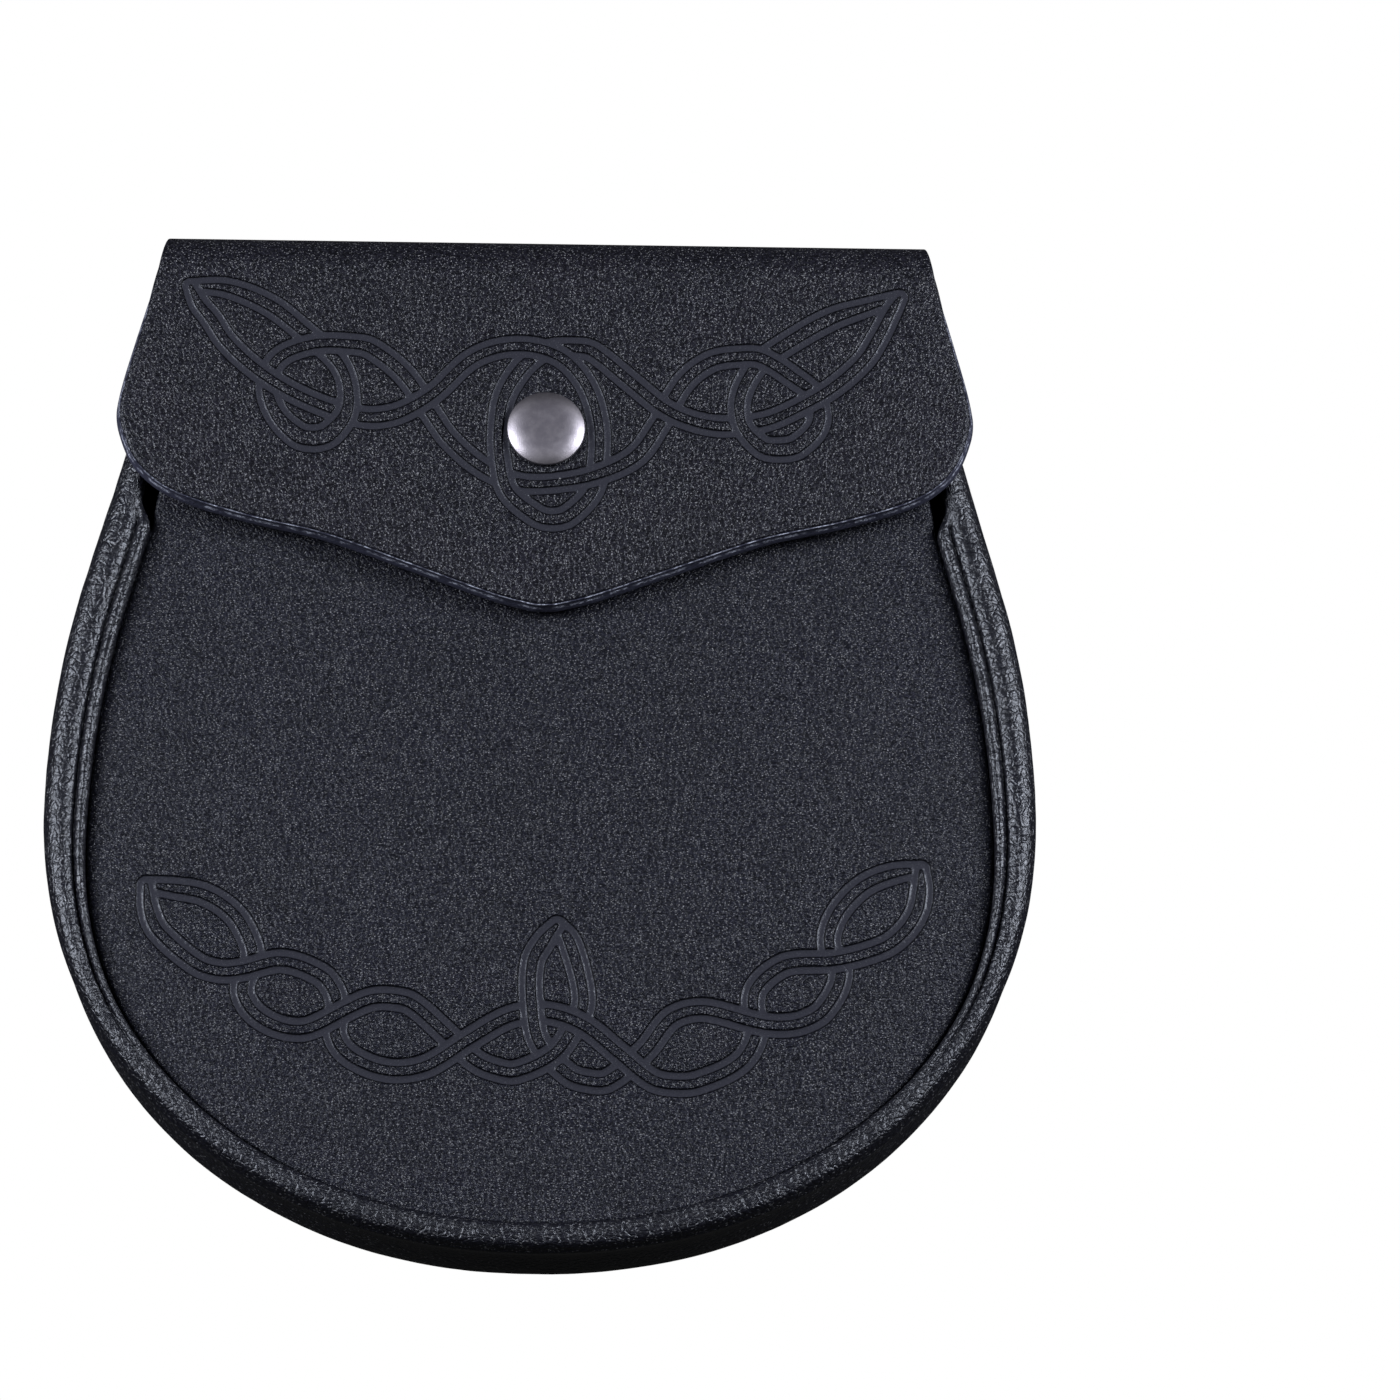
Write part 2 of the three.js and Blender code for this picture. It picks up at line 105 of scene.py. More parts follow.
SOCKET_RADIUS = 5.6
SOCKET_HOLLOW_RADIUS = 3.0
SOCKET_ROOF = 0.6
SOCKET_DEPTH = 2.1
LOOP_WIDTH = 25.0
LOOP_GAP = 4.4
LOOP_REACH = 15.3
LOOP_FOOT = 9.0

WIDEST = BOTTOM + WIDEST_ABOVE_BOTTOM
BACK_FACE = LOOP_LEATHER + LOOP_GAP
FRONT_SLOPE = (THICKNESS_AT_TOP - THICKNESS_AT_BOTTOM) / (TOP - BOTTOM)
FRONT_TILT = math.atan(FRONT_SLOPE)

# The gusset's section: a share of its width inwards, a share of the roll's height down from the crest, and
# how far the wall's inside goes down to the foot at the seam. It has a ridge beside the panel along the
# sides, is one plain roll round the bottom, and has a free edge at the pouch's mouth.
SEWN_SECTION = np.array([
    (1.0, 0.3, 1.0),
    (0.95, 0.12, 1.0),
    (0.87, 0.06, 1.0),
    (0.79, 0.2, 0.85),
    (0.72, 0.5, 0.35),
    (0.64, 0.2, 0.05),
    (0.44, 0.0, 0.0),
    (0.22, 0.16, 0.0),
    (0.07, 0.7, 0.0),
    (0.01, 1.5, 0.0),
])
PLAIN_SECTION = np.array([
    (1.0, 0.34, 1.0),
    (0.95, 0.16, 1.0),
    (0.87, 0.06, 1.0),
    (0.79, 0.02, 0.85),
    (0.72, 0.0, 0.35),
    (0.64, 0.0, 0.05),
    (0.44, 0.02, 0.0),
    (0.22, 0.2, 0.0),
    (0.07, 0.75, 0.0),
    (0.01, 1.5, 0.0),
])
OPEN_SECTION = np.array([
    (0.65, 0.75, 0.0),
    (0.655, 0.62, 0.0),
    (0.645, 0.48, 0.0),
    (0.62, 0.32, 0.0),
    (0.575, 0.16, 0.0),
    (0.51, 0.05, 0.0),
    (0.44, 0.0, 0.0),
    (0.22, 0.16, 0.0),
    (0.07, 0.7, 0.0),
    (0.01, 1.5, 0.0),
])

# The flap's outline: a share of its length from the fold, and a share of its half width
FLAP_OUTLINE = np.array([
    (0.0, 0.914),
    (0.21, 0.963),
    (0.41, 1.0),
    (0.49, 0.993),
    (0.595, 0.952),
    (0.675, 0.87),
    (0.745, 0.7),
    (0.8, 0.51),
    (0.9, 0.28),
    (0.975, 0.11),
    (1.0, 0.03),
])

# The knots' strands. A row is a place across and up the pouch, and half the width of the strand's raised
# core there, all in millimetres.
FLAP_WAVE = np.array([
    (-71.2, 90.5, 0.2), (-69.4, 86.7, 0.8), (-66.9, 83.5, 1.0), (-63.9, 78.8, 1.0), (-58.5, 73.4, 1.0),
    (-52.0, 68.8, 0.95), (-44.9, 65.3, 0.95), (-37.5, 62.9, 1.1), (-32.9, 62.7, 1.2), (-28.4, 64.0, 1.1),
    (-22.2, 68.1, 0.95), (-15.5, 75.0, 0.95), (-9.6, 77.8, 1.0), (-2.7, 78.1, 1.0), (3.4, 75.7, 1.0),
    (7.9, 70.1, 0.95), (10.3, 62.4, 0.9), (10.5, 54.7, 0.9), (9.3, 47.7, 1.0), (4.7, 42.4, 1.2),
    (1.4, 41.4, 1.2), (-1.8, 42.3, 1.2), (-7.4, 47.4, 1.0), (-9.2, 54.8, 0.9), (-9.4, 60.1, 0.9),
    (-8.4, 67.4, 1.1), (-4.9, 73.8, 1.2), (-0.3, 77.5, 1.0), (6.3, 78.1, 1.0), (9.3, 77.3, 1.0),
    (17.4, 70.4, 1.0), (23.5, 65.3, 1.0), (29.4, 62.6, 1.0), (35.4, 61.7, 1.1), (43.3, 62.8, 0.95),
    (49.3, 65.5, 0.9), (56.8, 70.2, 1.0), (63.0, 76.1, 1.0), (66.0, 81.0, 1.0), (69.2, 87.6, 0.7),
    (70.6, 90.1, 0.2),
])
FLAP_RINGS = np.array([
    (-71.2, 90.5, 0.2), (-63.8, 90.1, 0.9), (-55.3, 86.5, 1.2), (-48.9, 81.4, 1.1), (-41.9, 75.0, 1.0),
    (-39.5, 69.9, 0.9), (-39.5, 63.7, 1.2), (-42.7, 59.1, 1.7), (-45.6, 58.0, 1.8), (-49.0, 58.7, 1.7),
    (-53.5, 63.4, 1.2), (-55.3, 69.4, 1.0), (-53.2, 75.1, 1.0), (-46.4, 78.2, 1.0), (-38.5, 78.3, 1.0),
    (-34.9, 77.4, 1.1), (-28.3, 72.0, 1.1), (-22.7, 63.5, 1.0), (-19.0, 58.1, 1.0), (-12.5, 52.3, 1.0),
    (-5.5, 49.2, 0.9), (2.0, 49.2, 0.8), (10.3, 51.1, 1.0), (17.7, 55.1, 1.2), (22.1, 61.5, 1.1),
    (27.3, 71.1, 1.1), (32.7, 75.6, 1.1), (38.8, 76.8, 1.1), (42.8, 76.5, 1.1), (48.8, 72.6, 1.1),
    (53.3, 68.5, 1.0), (53.9, 62.5, 1.3), (49.9, 57.7, 1.5), (46.4, 56.8, 1.5), (42.8, 57.4, 1.3),
    (38.9, 62.0, 0.9), (38.5, 68.0, 1.0), (41.8, 74.8, 1.1), (46.9, 79.0, 1.3), (56.6, 85.1, 1.3),
    (65.0, 88.2, 0.7), (70.6, 90.1, 0.2),
])
PANEL_LEFT = np.array([
    (-75.8, -32.7, 0.3), (-70.2, -33.4, 0.9), (-65.0, -34.4, 1.0), (-60.5, -36.9, 1.0), (-57.3, -40.4, 1.0),
    (-54.9, -46.7, 1.0), (-56.7, -53.1, 1.0), (-55.4, -56.6, 1.0), (-52.4, -59.3, 1.0), (-48.1, -61.0, 1.0),
    (-43.8, -60.9, 1.0), (-36.1, -56.9, 1.0), (-32.2, -55.2, 1.0), (-28.4, -55.0, 1.0), (-24.4, -56.0, 1.0),
    (-17.7, -61.8, 1.0), (-12.2, -66.9, 1.0), (-8.4, -68.6, 1.0), (-4.4, -69.1, 1.0), (2.7, -65.6, 1.0),
    (6.2, -60.8, 1.0), (8.2, -56.2, 1.0), (7.9, -51.5, 1.0), (5.5, -43.4, 1.0), (3.5, -40.4, 0.3),
])
PANEL_LONG = np.array([
    (-75.8, -32.7, 0.3), (-75.0, -37.9, 0.9), (-73.0, -42.0, 1.0), (-65.5, -48.4, 1.0), (-61.0, -49.8, 1.0),
    (-57.0, -49.5, 1.0), (-49.3, -47.8, 1.0), (-41.9, -50.4, 1.0), (-39.3, -53.6, 1.0), (-38.4, -57.5, 1.0),
    (-38.9, -61.5, 1.0), (-37.4, -64.8, 1.0), (-34.0, -67.3, 1.0), (-29.4, -68.9, 1.0), (-25.1, -69.0, 1.0),
    (-20.6, -67.7, 1.0), (-12.9, -62.6, 1.0), (-5.3, -58.3, 1.0), (1.6, -57.6, 1.0), (8.3, -59.9, 1.0),
    (15.1, -65.3, 1.0), (21.5, -70.4, 1.0), (25.9, -71.3, 1.0), (30.4, -70.8, 1.0), (38.2, -66.9, 1.0),
    (41.4, -61.1, 1.0), (40.7, -55.4, 1.0), (41.3, -52.4, 1.0), (44.1, -49.3, 1.0), (47.9, -47.3, 1.0),
    (57.0, -46.6, 1.0), (66.0, -43.8, 1.0), (70.1, -40.5, 1.0), (72.6, -36.4, 1.0), (73.4, -32.2, 0.9),
    (73.4, -28.5, 0.3),
])
PANEL_RIGHT = np.array([
    (3.1, -40.2, 0.3), (0.7, -43.3, 1.0), (-1.5, -47.7, 1.0), (-1.5, -56.4, 1.0), (0.0, -63.3, 1.0),
    (5.5, -69.4, 1.0), (9.1, -70.7, 1.0), (13.1, -70.6, 1.0), (20.2, -64.6, 1.0), (24.5, -58.9, 1.0),
    (27.9, -57.1, 1.0), (32.3, -56.8, 1.0), (41.3, -59.1, 1.0), (45.9, -59.6, 1.0), (50.3, -58.9, 1.0),
    (54.3, -56.4, 1.0), (57.6, -49.6, 1.0), (55.4, -43.3, 1.0), (56.2, -39.1, 1.0), (58.7, -35.0, 1.0),
    (62.7, -31.3, 1.0), (67.8, -29.1, 0.9), (73.4, -28.1, 0.3),
])

# Where strands cross: a place across and up, and the heading in degrees of the strand that lies over
FLAP_CROSSINGS = np.array([
    (-55.0, 71.0, -33.0),
    (-45.0, 78.2, 0.0),
    (-39.5, 64.5, 90.0),
    (-25.0, 67.5, 40.0),
    (0.0, 77.8, -18.0),
    (-8.8, 50.5, 100.0),
    (10.0, 51.0, 15.0),
    (24.0, 65.0, -38.0),
    (38.5, 61.5, 90.0),
    (44.0, 76.5, -15.0),
    (53.4, 68.0, 30.0),
])
PANEL_CROSSINGS = np.array([
    (-56.0, -50.5, 5.0),
    (-38.5, -58.0, 28.0),
    (-15.5, -64.5, 33.0),
    (-1.5, -58.0, 90.0),
    (2.7, -66.5, 45.0),
    (8.0, -59.2, -25.0),
    (18.0, -67.5, -40.0),
    (41.0, -59.0, -15.0),
    (56.8, -46.7, 5.0),
])

# The camera: its lens and sensor in millimetres, its place and the point that it looks at in metres
CAMERA_LENS = 118.076
CAMERA_EYE = Vector((0.0, -0.2672, 0.87667))
CAMERA_AIM = Vector((0.03087, 0.008, 0.016))
SENSOR = 36.0


def colour(name, about, *value):
    """A colour that the panel shows."""
    return bpy.props.FloatVectorProperty(
        name=name, description=about, size=3, subtype="COLOR", default=value, min=0, max=1
    )


def amount(name, about, value, unit="LENGTH"):
    """A size, or another amount, that the panel shows."""
    return bpy.props.FloatProperty(name=name, description=about, default=value, unit=unit)


class KnotSizes(bpy.types.PropertyGroup):
    """How the knotwork is pressed into the leather."""

    depth: amount("Depth", "How deep the channels are", 0.0003)
    channel: amount("Channel", "Width of the channel beside a strand's core", 0.00175)
    wall: amount("Wall", "Width of a channel's sloping wall", 0.00035)
    mesh_step: amount("Mesh step", "Width of the mesh's faces under a knot", 0.00045)


class LeatherLook(bpy.types.PropertyGroup):
    """Colours and grain of the leather."""

    flap: colour("Flap", "Colour of the flap and back", 0.0082, 0.0083, 0.0132)
    panel: colour("Front panel", "Colour of the front panel", 0.0076, 0.0081, 0.0142)
    gusset: colour("Gusset", "Colour of the soft leather round the sides", 0.0035, 0.0036, 0.007)
    cut_edge: colour("Cut edge", "Colour of the leather's dyed cut edge", 0.012, 0.0135, 0.028)
    fibre: colour("Fibre", "Colour of bare fibres on a cut edge", 0.34, 0.37, 0.48)
    fine_grain: amount("Fine grain", "Width of a pebble of the stiff leather's grain", 0.00062)
    soft_grain: amount("Soft grain", "Width of a pebble of the gusset's grain", 0.00105)


class MetalLook(bpy.types.PropertyGroup):
    """Colours of the snap."""

    nickel: colour("Nickel", "Colour of the worn metal", 0.27, 0.26, 0.3)
    patina: colour("Patina", "Colour of the darkened metal", 0.14, 0.135, 0.165)


class StudioSizes(bpy.types.PropertyGroup):
    """The studio round the pouch."""

    floor: colour("Floor", "Colour of the white ground", 1.0, 1.0, 1.0)
    left_power: amount("Left softbox", "Power of the softbox on the left", 14.0, "POWER")
    right_power: amount("Right softbox", "Power of the softbox on the right", 14.5, "POWER")
    room: amount("Room", "Brightness of the room's light", 0.03, "NONE")


def settings(group):
    """One of the scene's groups of sizes."""
    return getattr(bpy.context.scene, group)


# Shapes

# How finely the outline is laid out: steps round the bottom, steps along the sides' bow, and the length of a
# step along their straight upper part
PANEL_STATIONS = (90, 30, 1.5)
GUSSET_STATIONS = (120, 44, 1.2)


def crest(y):
    """Height of the gusset's front roll."""
    return THICKNESS_AT_BOTTOM + FRONT_SLOPE * (y - BOTTOM)


def panel_top(y):
    """Height of the front panel's outer face at its rim."""
    return crest(y) - ROLL_HEIGHT


def flap_top(y):
    """Height of the flap's outer face."""
    return crest(y) + CLEARANCE + FLAP_LEATHER


def ease(low, high, value):
    """A smooth step from 0 to 1."""
    share = np.clip((np.asarray(value, float) - low) / (high - low), 0.0, 1.0)
    return share * share * (3.0 - 2.0 * share)


def between(share, start, end, leaving, arriving):
    """A smooth curve from start to end at these shares of the way, with its speed at both."""
    return (
        (2 * share**3 - 3 * share**2 + 1) * start + (share**3 - 2 * share**2 + share) * leaving
        + (3 * share**2 - 2 * share**3) * end + (share**3 - share**2) * arriving
    )


def curve_through(rows, spacing):
    """A smooth curve through a table's rows, with points about that far apart."""
    rows = np.asarray(rows, float)
    steps = np.hypot(*np.diff(rows[:, :2], axis=0).T)
    at = np.concatenate([[0.0], np.cumsum(steps)])
    slope = np.empty_like(rows)
    slope[1:-1] = (rows[2:] - rows[:-2]) / (at[2:] - at[:-2])[:, None]
    slope[0] = (rows[1] - rows[0]) / steps[0]
    slope[-1] = (rows[-1] - rows[-2]) / steps[-1]
    pieces = []
    for k, length in enumerate(steps):
        count = max(1, round(length / spacing))
        share = (np.arange(count) / count)[:, None]
        pieces.append(between(share, rows[k], rows[k + 1], length * slope[k], length * slope[k + 1]))
    pieces.append(rows[-1:])
    return np.concatenate(pieces)


def direction_of(line):
    """The direction in which a line goes, at each of its points."""
    along = np.gradient(line, axis=0)
    return along / np.hypot(*along.T)[:, None]


def right_of(line):
    """The direction to the right of a line, at each of its points."""
    along = direction_of(line)
    return np.stack([along[:, 1], -along[:, 0]], axis=1)


def body_side(top, bottom_steps, side_steps, taper_step):
    """One side of the body's outline from its bottom up, as rows of x, y and the direction inwards."""
    angle = np.pi / 2 * (1 - np.arange(bottom_steps + 1) / bottom_steps)
    across = np.clip(np.cos(angle), 0, None) ** (2 / BOTTOM_SQUARENESS)
    down = np.clip(np.sin(angle), 0, None) ** (2 / BOTTOM_SQUARENESS)
    slope_x = across ** (BOTTOM_SQUARENESS - 1) / BODY_HALF_WIDTH
    slope_y = down ** (BOTTOM_SQUARENESS - 1) / WIDEST_ABOVE_BOTTOM
    length = np.hypot(slope_x, slope_y)
    bottom = np.stack([
        BODY_HALF_WIDTH * across, WIDEST - WIDEST_ABOVE_BOTTOM * down, -slope_x / length, slope_y / length,
    ], axis=1)
    turn = SIDE_TAPER * np.arange(1, side_steps + 1) / side_steps
    side = np.stack([
        BODY_HALF_WIDTH - SIDE_RADIUS * (1 - np.cos(turn)), WIDEST + SIDE_RADIUS * np.sin(turn),
        -np.cos(turn), -np.sin(turn),
    ], axis=1)
    start = side[-1]
    count = max(1, math.ceil((top - start[1]) / taper_step))
    y = start[1] + (top - start[1]) * np.arange(1, count + 1) / count
    taper = np.tile(start, (count, 1))
    taper[:, 0] = start[0] - (y - start[1]) * math.tan(SIDE_TAPER)
    taper[:, 1] = y
    return np.concatenate([bottom, side, taper])


def gusset_width(stations):
    """How wide the gusset shows beside the panel, at rows of body_side."""
    narrow = ease(*NARROWING, stations[:, 3])
    return GUSSET_WIDTH_AT_SIDES + (GUSSET_WIDTH_AT_BOTTOM - GUSSET_WIDTH_AT_SIDES) * narrow


def panel_side():
    """The line that the panels end on, as rows of half width and height."""
    stations = body_side(GUSSET_END, *PANEL_STATIONS)
    reach = gusset_width(stations) + CLEARANCE
    return stations[:, :2] + stations[:, 2:] * reach[:, None]


# Knotwork

# Beyond this distance from a channel nothing changes
FAR = 3.0
# How far apart a strand's points are, and how near its tips no crossing counts
STRAND_STEP = 0.35
TIP_LENGTH = 4.0
# Points of one strand that are this few steps apart lie on the same bend
SELF_GAP = 14
# How much of a strand's core stays raised between its channels
CORE_SHARE = 0.8
# How many pairs of points are compared at once
AT_ONCE = 2000000


def in_parts(numbers, others):
    """Splits point numbers, each of which is compared with that many other points, to save memory."""
    return np.array_split(numbers, max(1, len(numbers) * others // AT_ONCE))


def crossings_between(first, second, same):
    """Pairs of point numbers at which two strands, or one strand and itself, cross."""
    a0, a1 = first[:-1, None, :2], first[1:, None, :2]
    b0, b1 = second[None, :-1, :2], second[None, 1:, :2]

    def side(start, end, point):
        along, to = end - start, point - start
        return along[..., 0] * to[..., 1] - along[..., 1] * to[..., 0]

    meet = (side(b0, b1, a0) * side(b0, b1, a1) < 0) & (side(a0, a1, b0) * side(a0, a1, b1) < 0)
    pairs = np.argwhere(meet)
    return [(i, j) for i, j in pairs if not same or j - i > SELF_GAP]


def heading(strand, k):
    """The strand's direction at a point, in degrees."""
    along = strand[min(k + 2, len(strand) - 1), :2] - strand[max(k - 2, 0), :2]
    return math.degrees(math.atan2(along[1], along[0]))


def interlaced(tables, crossings):
    """The strands cut midway between their crossings. Each stretch has its level, those under come first."""
    strands = [curve_through(table, STRAND_STEP) for table in tables]
    hits = [[] for _ in strands]
    ends = np.array([strand[k, :2] for strand in strands for k in (0, -1)])
    for a, first in enumerate(strands):
        for b in range(a, len(strands)):
            for i, j in crossings_between(first, strands[b], a == b):
                place = first[i, :2]
                if np.hypot(*(ends - place).T).min() < TIP_LENGTH:
                    continue
                row = crossings[np.hypot(*(crossings[:, :2] - place).T).argmin()]
                off = [abs((h - row[2] + 90) % 180 - 90) for h in (heading(first, i), heading(strands[b], j))]
                hits[a].append((i, off[0] < off[1]))
                hits[b].append((j, off[0] >= off[1]))
    stretches = []
    for strand, found in zip(strands, hits):
        found.sort()
        along = direction_of(strand[:, :2])
        cuts = [0] + [(p[0] + q[0]) // 2 for p, q in zip(found, found[1:])] + [len(strand) - 1]
        for (_, over), low, high in zip(found, cuts, cuts[1:]):
            stretches.append({
                "over": over, "rows": strand[low:high + 1], "along": along[low:high + 1],
                "starts": low == 0, "ends": high == len(strand) - 1,
            })
    return sorted(stretches, key=lambda stretch: stretch["over"])


def press_edge(places, stretches, channel):
    """How far each place lies outside the pressed channels, in millimetres, and minus that inside them."""
    edge = np.full(len(places), FAR)
    for stretch in stretches:
        rows, along = stretch["rows"], stretch["along"]
        reach = rows[:, 2].max() + channel + FAR
        low, high = rows[:, :2].min(axis=0) - reach, rows[:, :2].max(axis=0) + reach
        near = np.flatnonzero(((places > low) & (places < high)).all(axis=1))
        for part in in_parts(near, len(rows)):
            to = places[part][:, None] - rows[None, :, :2]
            square = (to**2).sum(axis=2)
            k = square.argmin(axis=1)
            each = np.arange(len(part))
            ahead = (to[each, k] * along[k]).sum(axis=1)
            before = (k == 0) & (ahead < 0)
            after = (k == len(rows) - 1) & (ahead > 0)
            beside = np.sqrt(np.clip(square[each, k] - ahead**2, 0, None))
            beside = np.where(before | after, np.sqrt(square[each, k]), beside)
            core = rows[k, 2] * CORE_SHARE
            claimed = ~((before & (not stretch["starts"])) | (after & (not stretch["ends"])))
            here = part[claimed]
            outside = (beside - core - channel)[claimed]
            inside = (core - beside)[claimed]
            edge[here] = np.maximum(np.minimum(edge[here], outside), inside)
    return np.clip(edge, -FAR, FAR)


# Meshes

def only(piece):
    """Selects one piece and makes it active."""
    bpy.ops.object.select_all(action="DESELECT")
    piece.select_set(True)
    bpy.context.view_layer.objects.active = piece


def named(name):
    """The object that was just added, under its name."""
    added = bpy.context.object
    added.name = name
    added.data.name = name
    return added


def add_grid(name, columns, rows):
    """A flat grid with that many faces each way, ready to be shaped."""
    bpy.ops.object.select_all(action="DESELECT")
    bpy.ops.mesh.primitive_grid_add(x_subdivisions=columns, y_subdivisions=rows, size=2.0)
    return named(name)


def move_points(piece, places):
    """Puts a mesh's points at these places in millimetres."""
    piece.data.vertices.foreach_set("co", (np.asarray(places) * MM).astype(np.float32).ravel())
    piece.data.update()


def read(parts, name, width=1, kind=np.float32):
    """A value, or a row of values, for each of a mesh's points, edges or faces."""
    values = np.zeros(len(parts) * width, kind)
    parts.foreach_get(name, values)
    return values.reshape(-1, width) if width > 1 else values


def points_of(piece):
    """A mesh's points, in millimetres."""
    return read(piece.data.vertices, "co", 3).astype(float) / MM


def give(piece, name, values):
    """Keeps a number for each point of a mesh, for its material to read."""
    attribute = piece.data.attributes.get(name) or piece.data.attributes.new(name, "FLOAT", "POINT")
    attribute.data.foreach_set("value", np.asarray(values, np.float32))


def given(piece, name):
    """The numbers kept for the points of a mesh."""
    return read(piece.data.attributes[name].data, "value")


def apply_modifier(piece, kind, **values):
    """Adds a modifier with these values and applies it."""
    only(piece)
    modifier = piece.modifiers.new(kind.title(), kind)
    for key, value in values.items():
        setattr(modifier, key, value)
    bpy.ops.object.modifier_apply(modifier=modifier.name)


def select_parts(piece, parts, wanted):
    """Selects these points, edges or faces of a mesh and no others, ready for edit mode."""
    mesh = piece.data
    for kind in (mesh.vertices, mesh.edges, mesh.polygons):
        kind.foreach_set("select", np.zeros(len(kind), bool))
    parts.foreach_set("select", np.asarray(wanted, bool))


def in_edit_mode(piece, mode, *steps):
    """Runs edit mode steps on what is selected, in face, edge or vertex mode."""
    only(piece)
    bpy.context.tool_settings.mesh_select_mode = (mode == "VERT", mode == "EDGE", mode == "FACE")
    bpy.ops.object.mode_set(mode="EDIT")
    for step in steps:
        step()
    bpy.ops.object.mode_set(mode="OBJECT")


def face_normals(piece):
    """The direction that each face points in."""
    return read(piece.data.polygons, "normal", 3)


def face_centres(piece):
    """The middle of each face, in millimetres."""
    return read(piece.data.polygons, "center", 3) / MM


# Edges that turn by less than this are smooth: in stiff leather, in turned metal and in soft leather
SMOOTH_BELOW = math.radians(50)
METAL_SMOOTH_BELOW = math.radians(60)
SOFT_SMOOTH_BELOW = math.radians(65)


def smooth(piece, below=SMOOTH_BELOW):
    """Shades a piece smooth, apart from its sharp edges."""
    only(piece)
    bpy.ops.object.shade_smooth_by_angle(angle=below)


# A sheet's rim: its cuts, the groove between its two layers with its width as a share of the leather, the
# rounding of its edge, and the bevel of the flap's edge, which fades out towards the fold
RIM_CUTS = 5
LAYER_GROOVE = 0.16
GROOVE_WIDTH = 0.12
EDGE_ROUNDING = 0.55
EDGE_BEVEL = 0.9
BEVEL_FADE = 12.0
# Shares of the way through the leather: what is less lies on the outer face, what is more on the inner one
OUTER_FACE = 0.001
INNER_FACE = 0.999
# A row of a sheet reaches at least this far to each side of its middle
LEAST_HALF_WIDTH = 0.5


def leather_sheet(name, rows, columns, leather):
    """A leather sheet from rows across it, with its thickness and its cut rim.

    A row holds its half width, its y and z, its outward direction and its crown. Each point keeps how far
    it lies through the leather: 0 on the outer face, 1 on the inner one and shares of that on the rim.
    """
    rows = np.asarray(rows, float)
    half, y, z, out_y, out_z, crown = rows.T
    across = np.linspace(-1.0, 1.0, columns + 1)
    rise = crown[:, None] * (1 - across**2)[None, :]
    wide = np.maximum(half, LEAST_HALF_WIDTH)[:, None] * across[None, :]
    places = np.stack([
        wide, y[:, None] + out_y[:, None] * rise, z[:, None] + out_z[:, None] * rise,
    ], axis=2).reshape(-1, 3)
    piece = add_grid(name, columns, len(rows) - 1)
    move_points(piece, places)
    middle = len(piece.data.polygons) // 2
    row = min(middle // columns, len(rows) - 1)
    if np.dot(face_normals(piece)[middle], (0.0, out_y[row], out_z[row])) < 0:
        piece.data.flip_normals()
    outer = len(places)
    # Two empty slots, so that the rim's faces can take the second one
    for _ in range(2):
        piece.data.materials.append(None)
    apply_modifier(
        piece, "SOLIDIFY", thickness=leather * MM, offset=-1.0, use_even_offset=True, use_rim=True,
        material_offset_rim=1,
    )
    through = (np.arange(len(piece.data.vertices)) >= outer).astype(float)
    give(piece, "through", through)
    ends = read(piece.data.edges, "vertices", 2, np.int32)
    select_parts(piece, piece.data.edges, through[ends[:, 0]] != through[ends[:, 1]])
    in_edit_mode(piece, "EDGE", lambda: bpy.ops.mesh.subdivide(number_cuts=RIM_CUTS))
    return piece


def groove_rim(piece, depth):
    """Draws the middle of a sheet's rim in, where its two layers meet, and swells it beside that."""
    through = given(piece, "through")
    normals = read(piece.data.vertices, "normal", 3)
    on_rim = (through > OUTER_FACE) & (through < INNER_FACE)
    pull = depth * (np.exp(-(((through - 0.5) / GROOVE_WIDTH) ** 2)) - 0.5)
    places = points_of(piece)
    places[on_rim] -= normals[on_rim] * pull[on_rim, None]
    move_points(piece, places)


def plain_faces(piece, flat):
    """Makes each flat stretch of a sheet one plain face, as it needs no detail."""
    select_parts(piece, piece.data.polygons, flat)
    in_edit_mode(
        piece, "FACE",
        lambda: bpy.ops.mesh.delete(type="ONLY_FACE"),
        lambda: bpy.ops.mesh.select_all(action="SELECT"),
        lambda: bpy.ops.mesh.delete_loose(use_verts=True, use_edges=True, use_faces=False),
        lambda: bpy.ops.mesh.select_all(action="SELECT"),
        lambda: bpy.ops.mesh.fill_holes(sides=0),
    )


def thin_out(piece, points, share):
    """Leaves that share of a mesh's faces, by merging them only round these points."""
    group = piece.vertex_groups.new(name="thinned")
    group.add([int(k) for k in points], 1.0, "REPLACE")
    apply_modifier(piece, "DECIMATE", ratio=share, vertex_group=group.name, vertex_group_factor=1000.0)
    piece.vertex_groups.clear()


def distance_to(line, places):
    """How far each place is from a line of points."""
    nearest = np.full(len(places), np.inf)
    start, end = line[:-1], line[1:]
    along = end - start
    square = np.maximum((along**2).sum(axis=1), 1e-9)
    for part in in_parts(np.arange(len(places)), len(line)):
        to = places[part][:, None] - start[None]
        t = np.clip((to * along).sum(axis=2) / square, 0, 1)
        gap = np.hypot(*np.moveaxis(to - t[..., None] * along, 2, 0))
        nearest[part] = gap.min(axis=1)
    return nearest


def rounding(distance, radius):
    """How far a rounded edge falls at a distance from it."""
    near = np.clip(1 - distance / radius, 0, 1)
    return radius * (1 - np.sqrt(1 - near**2))


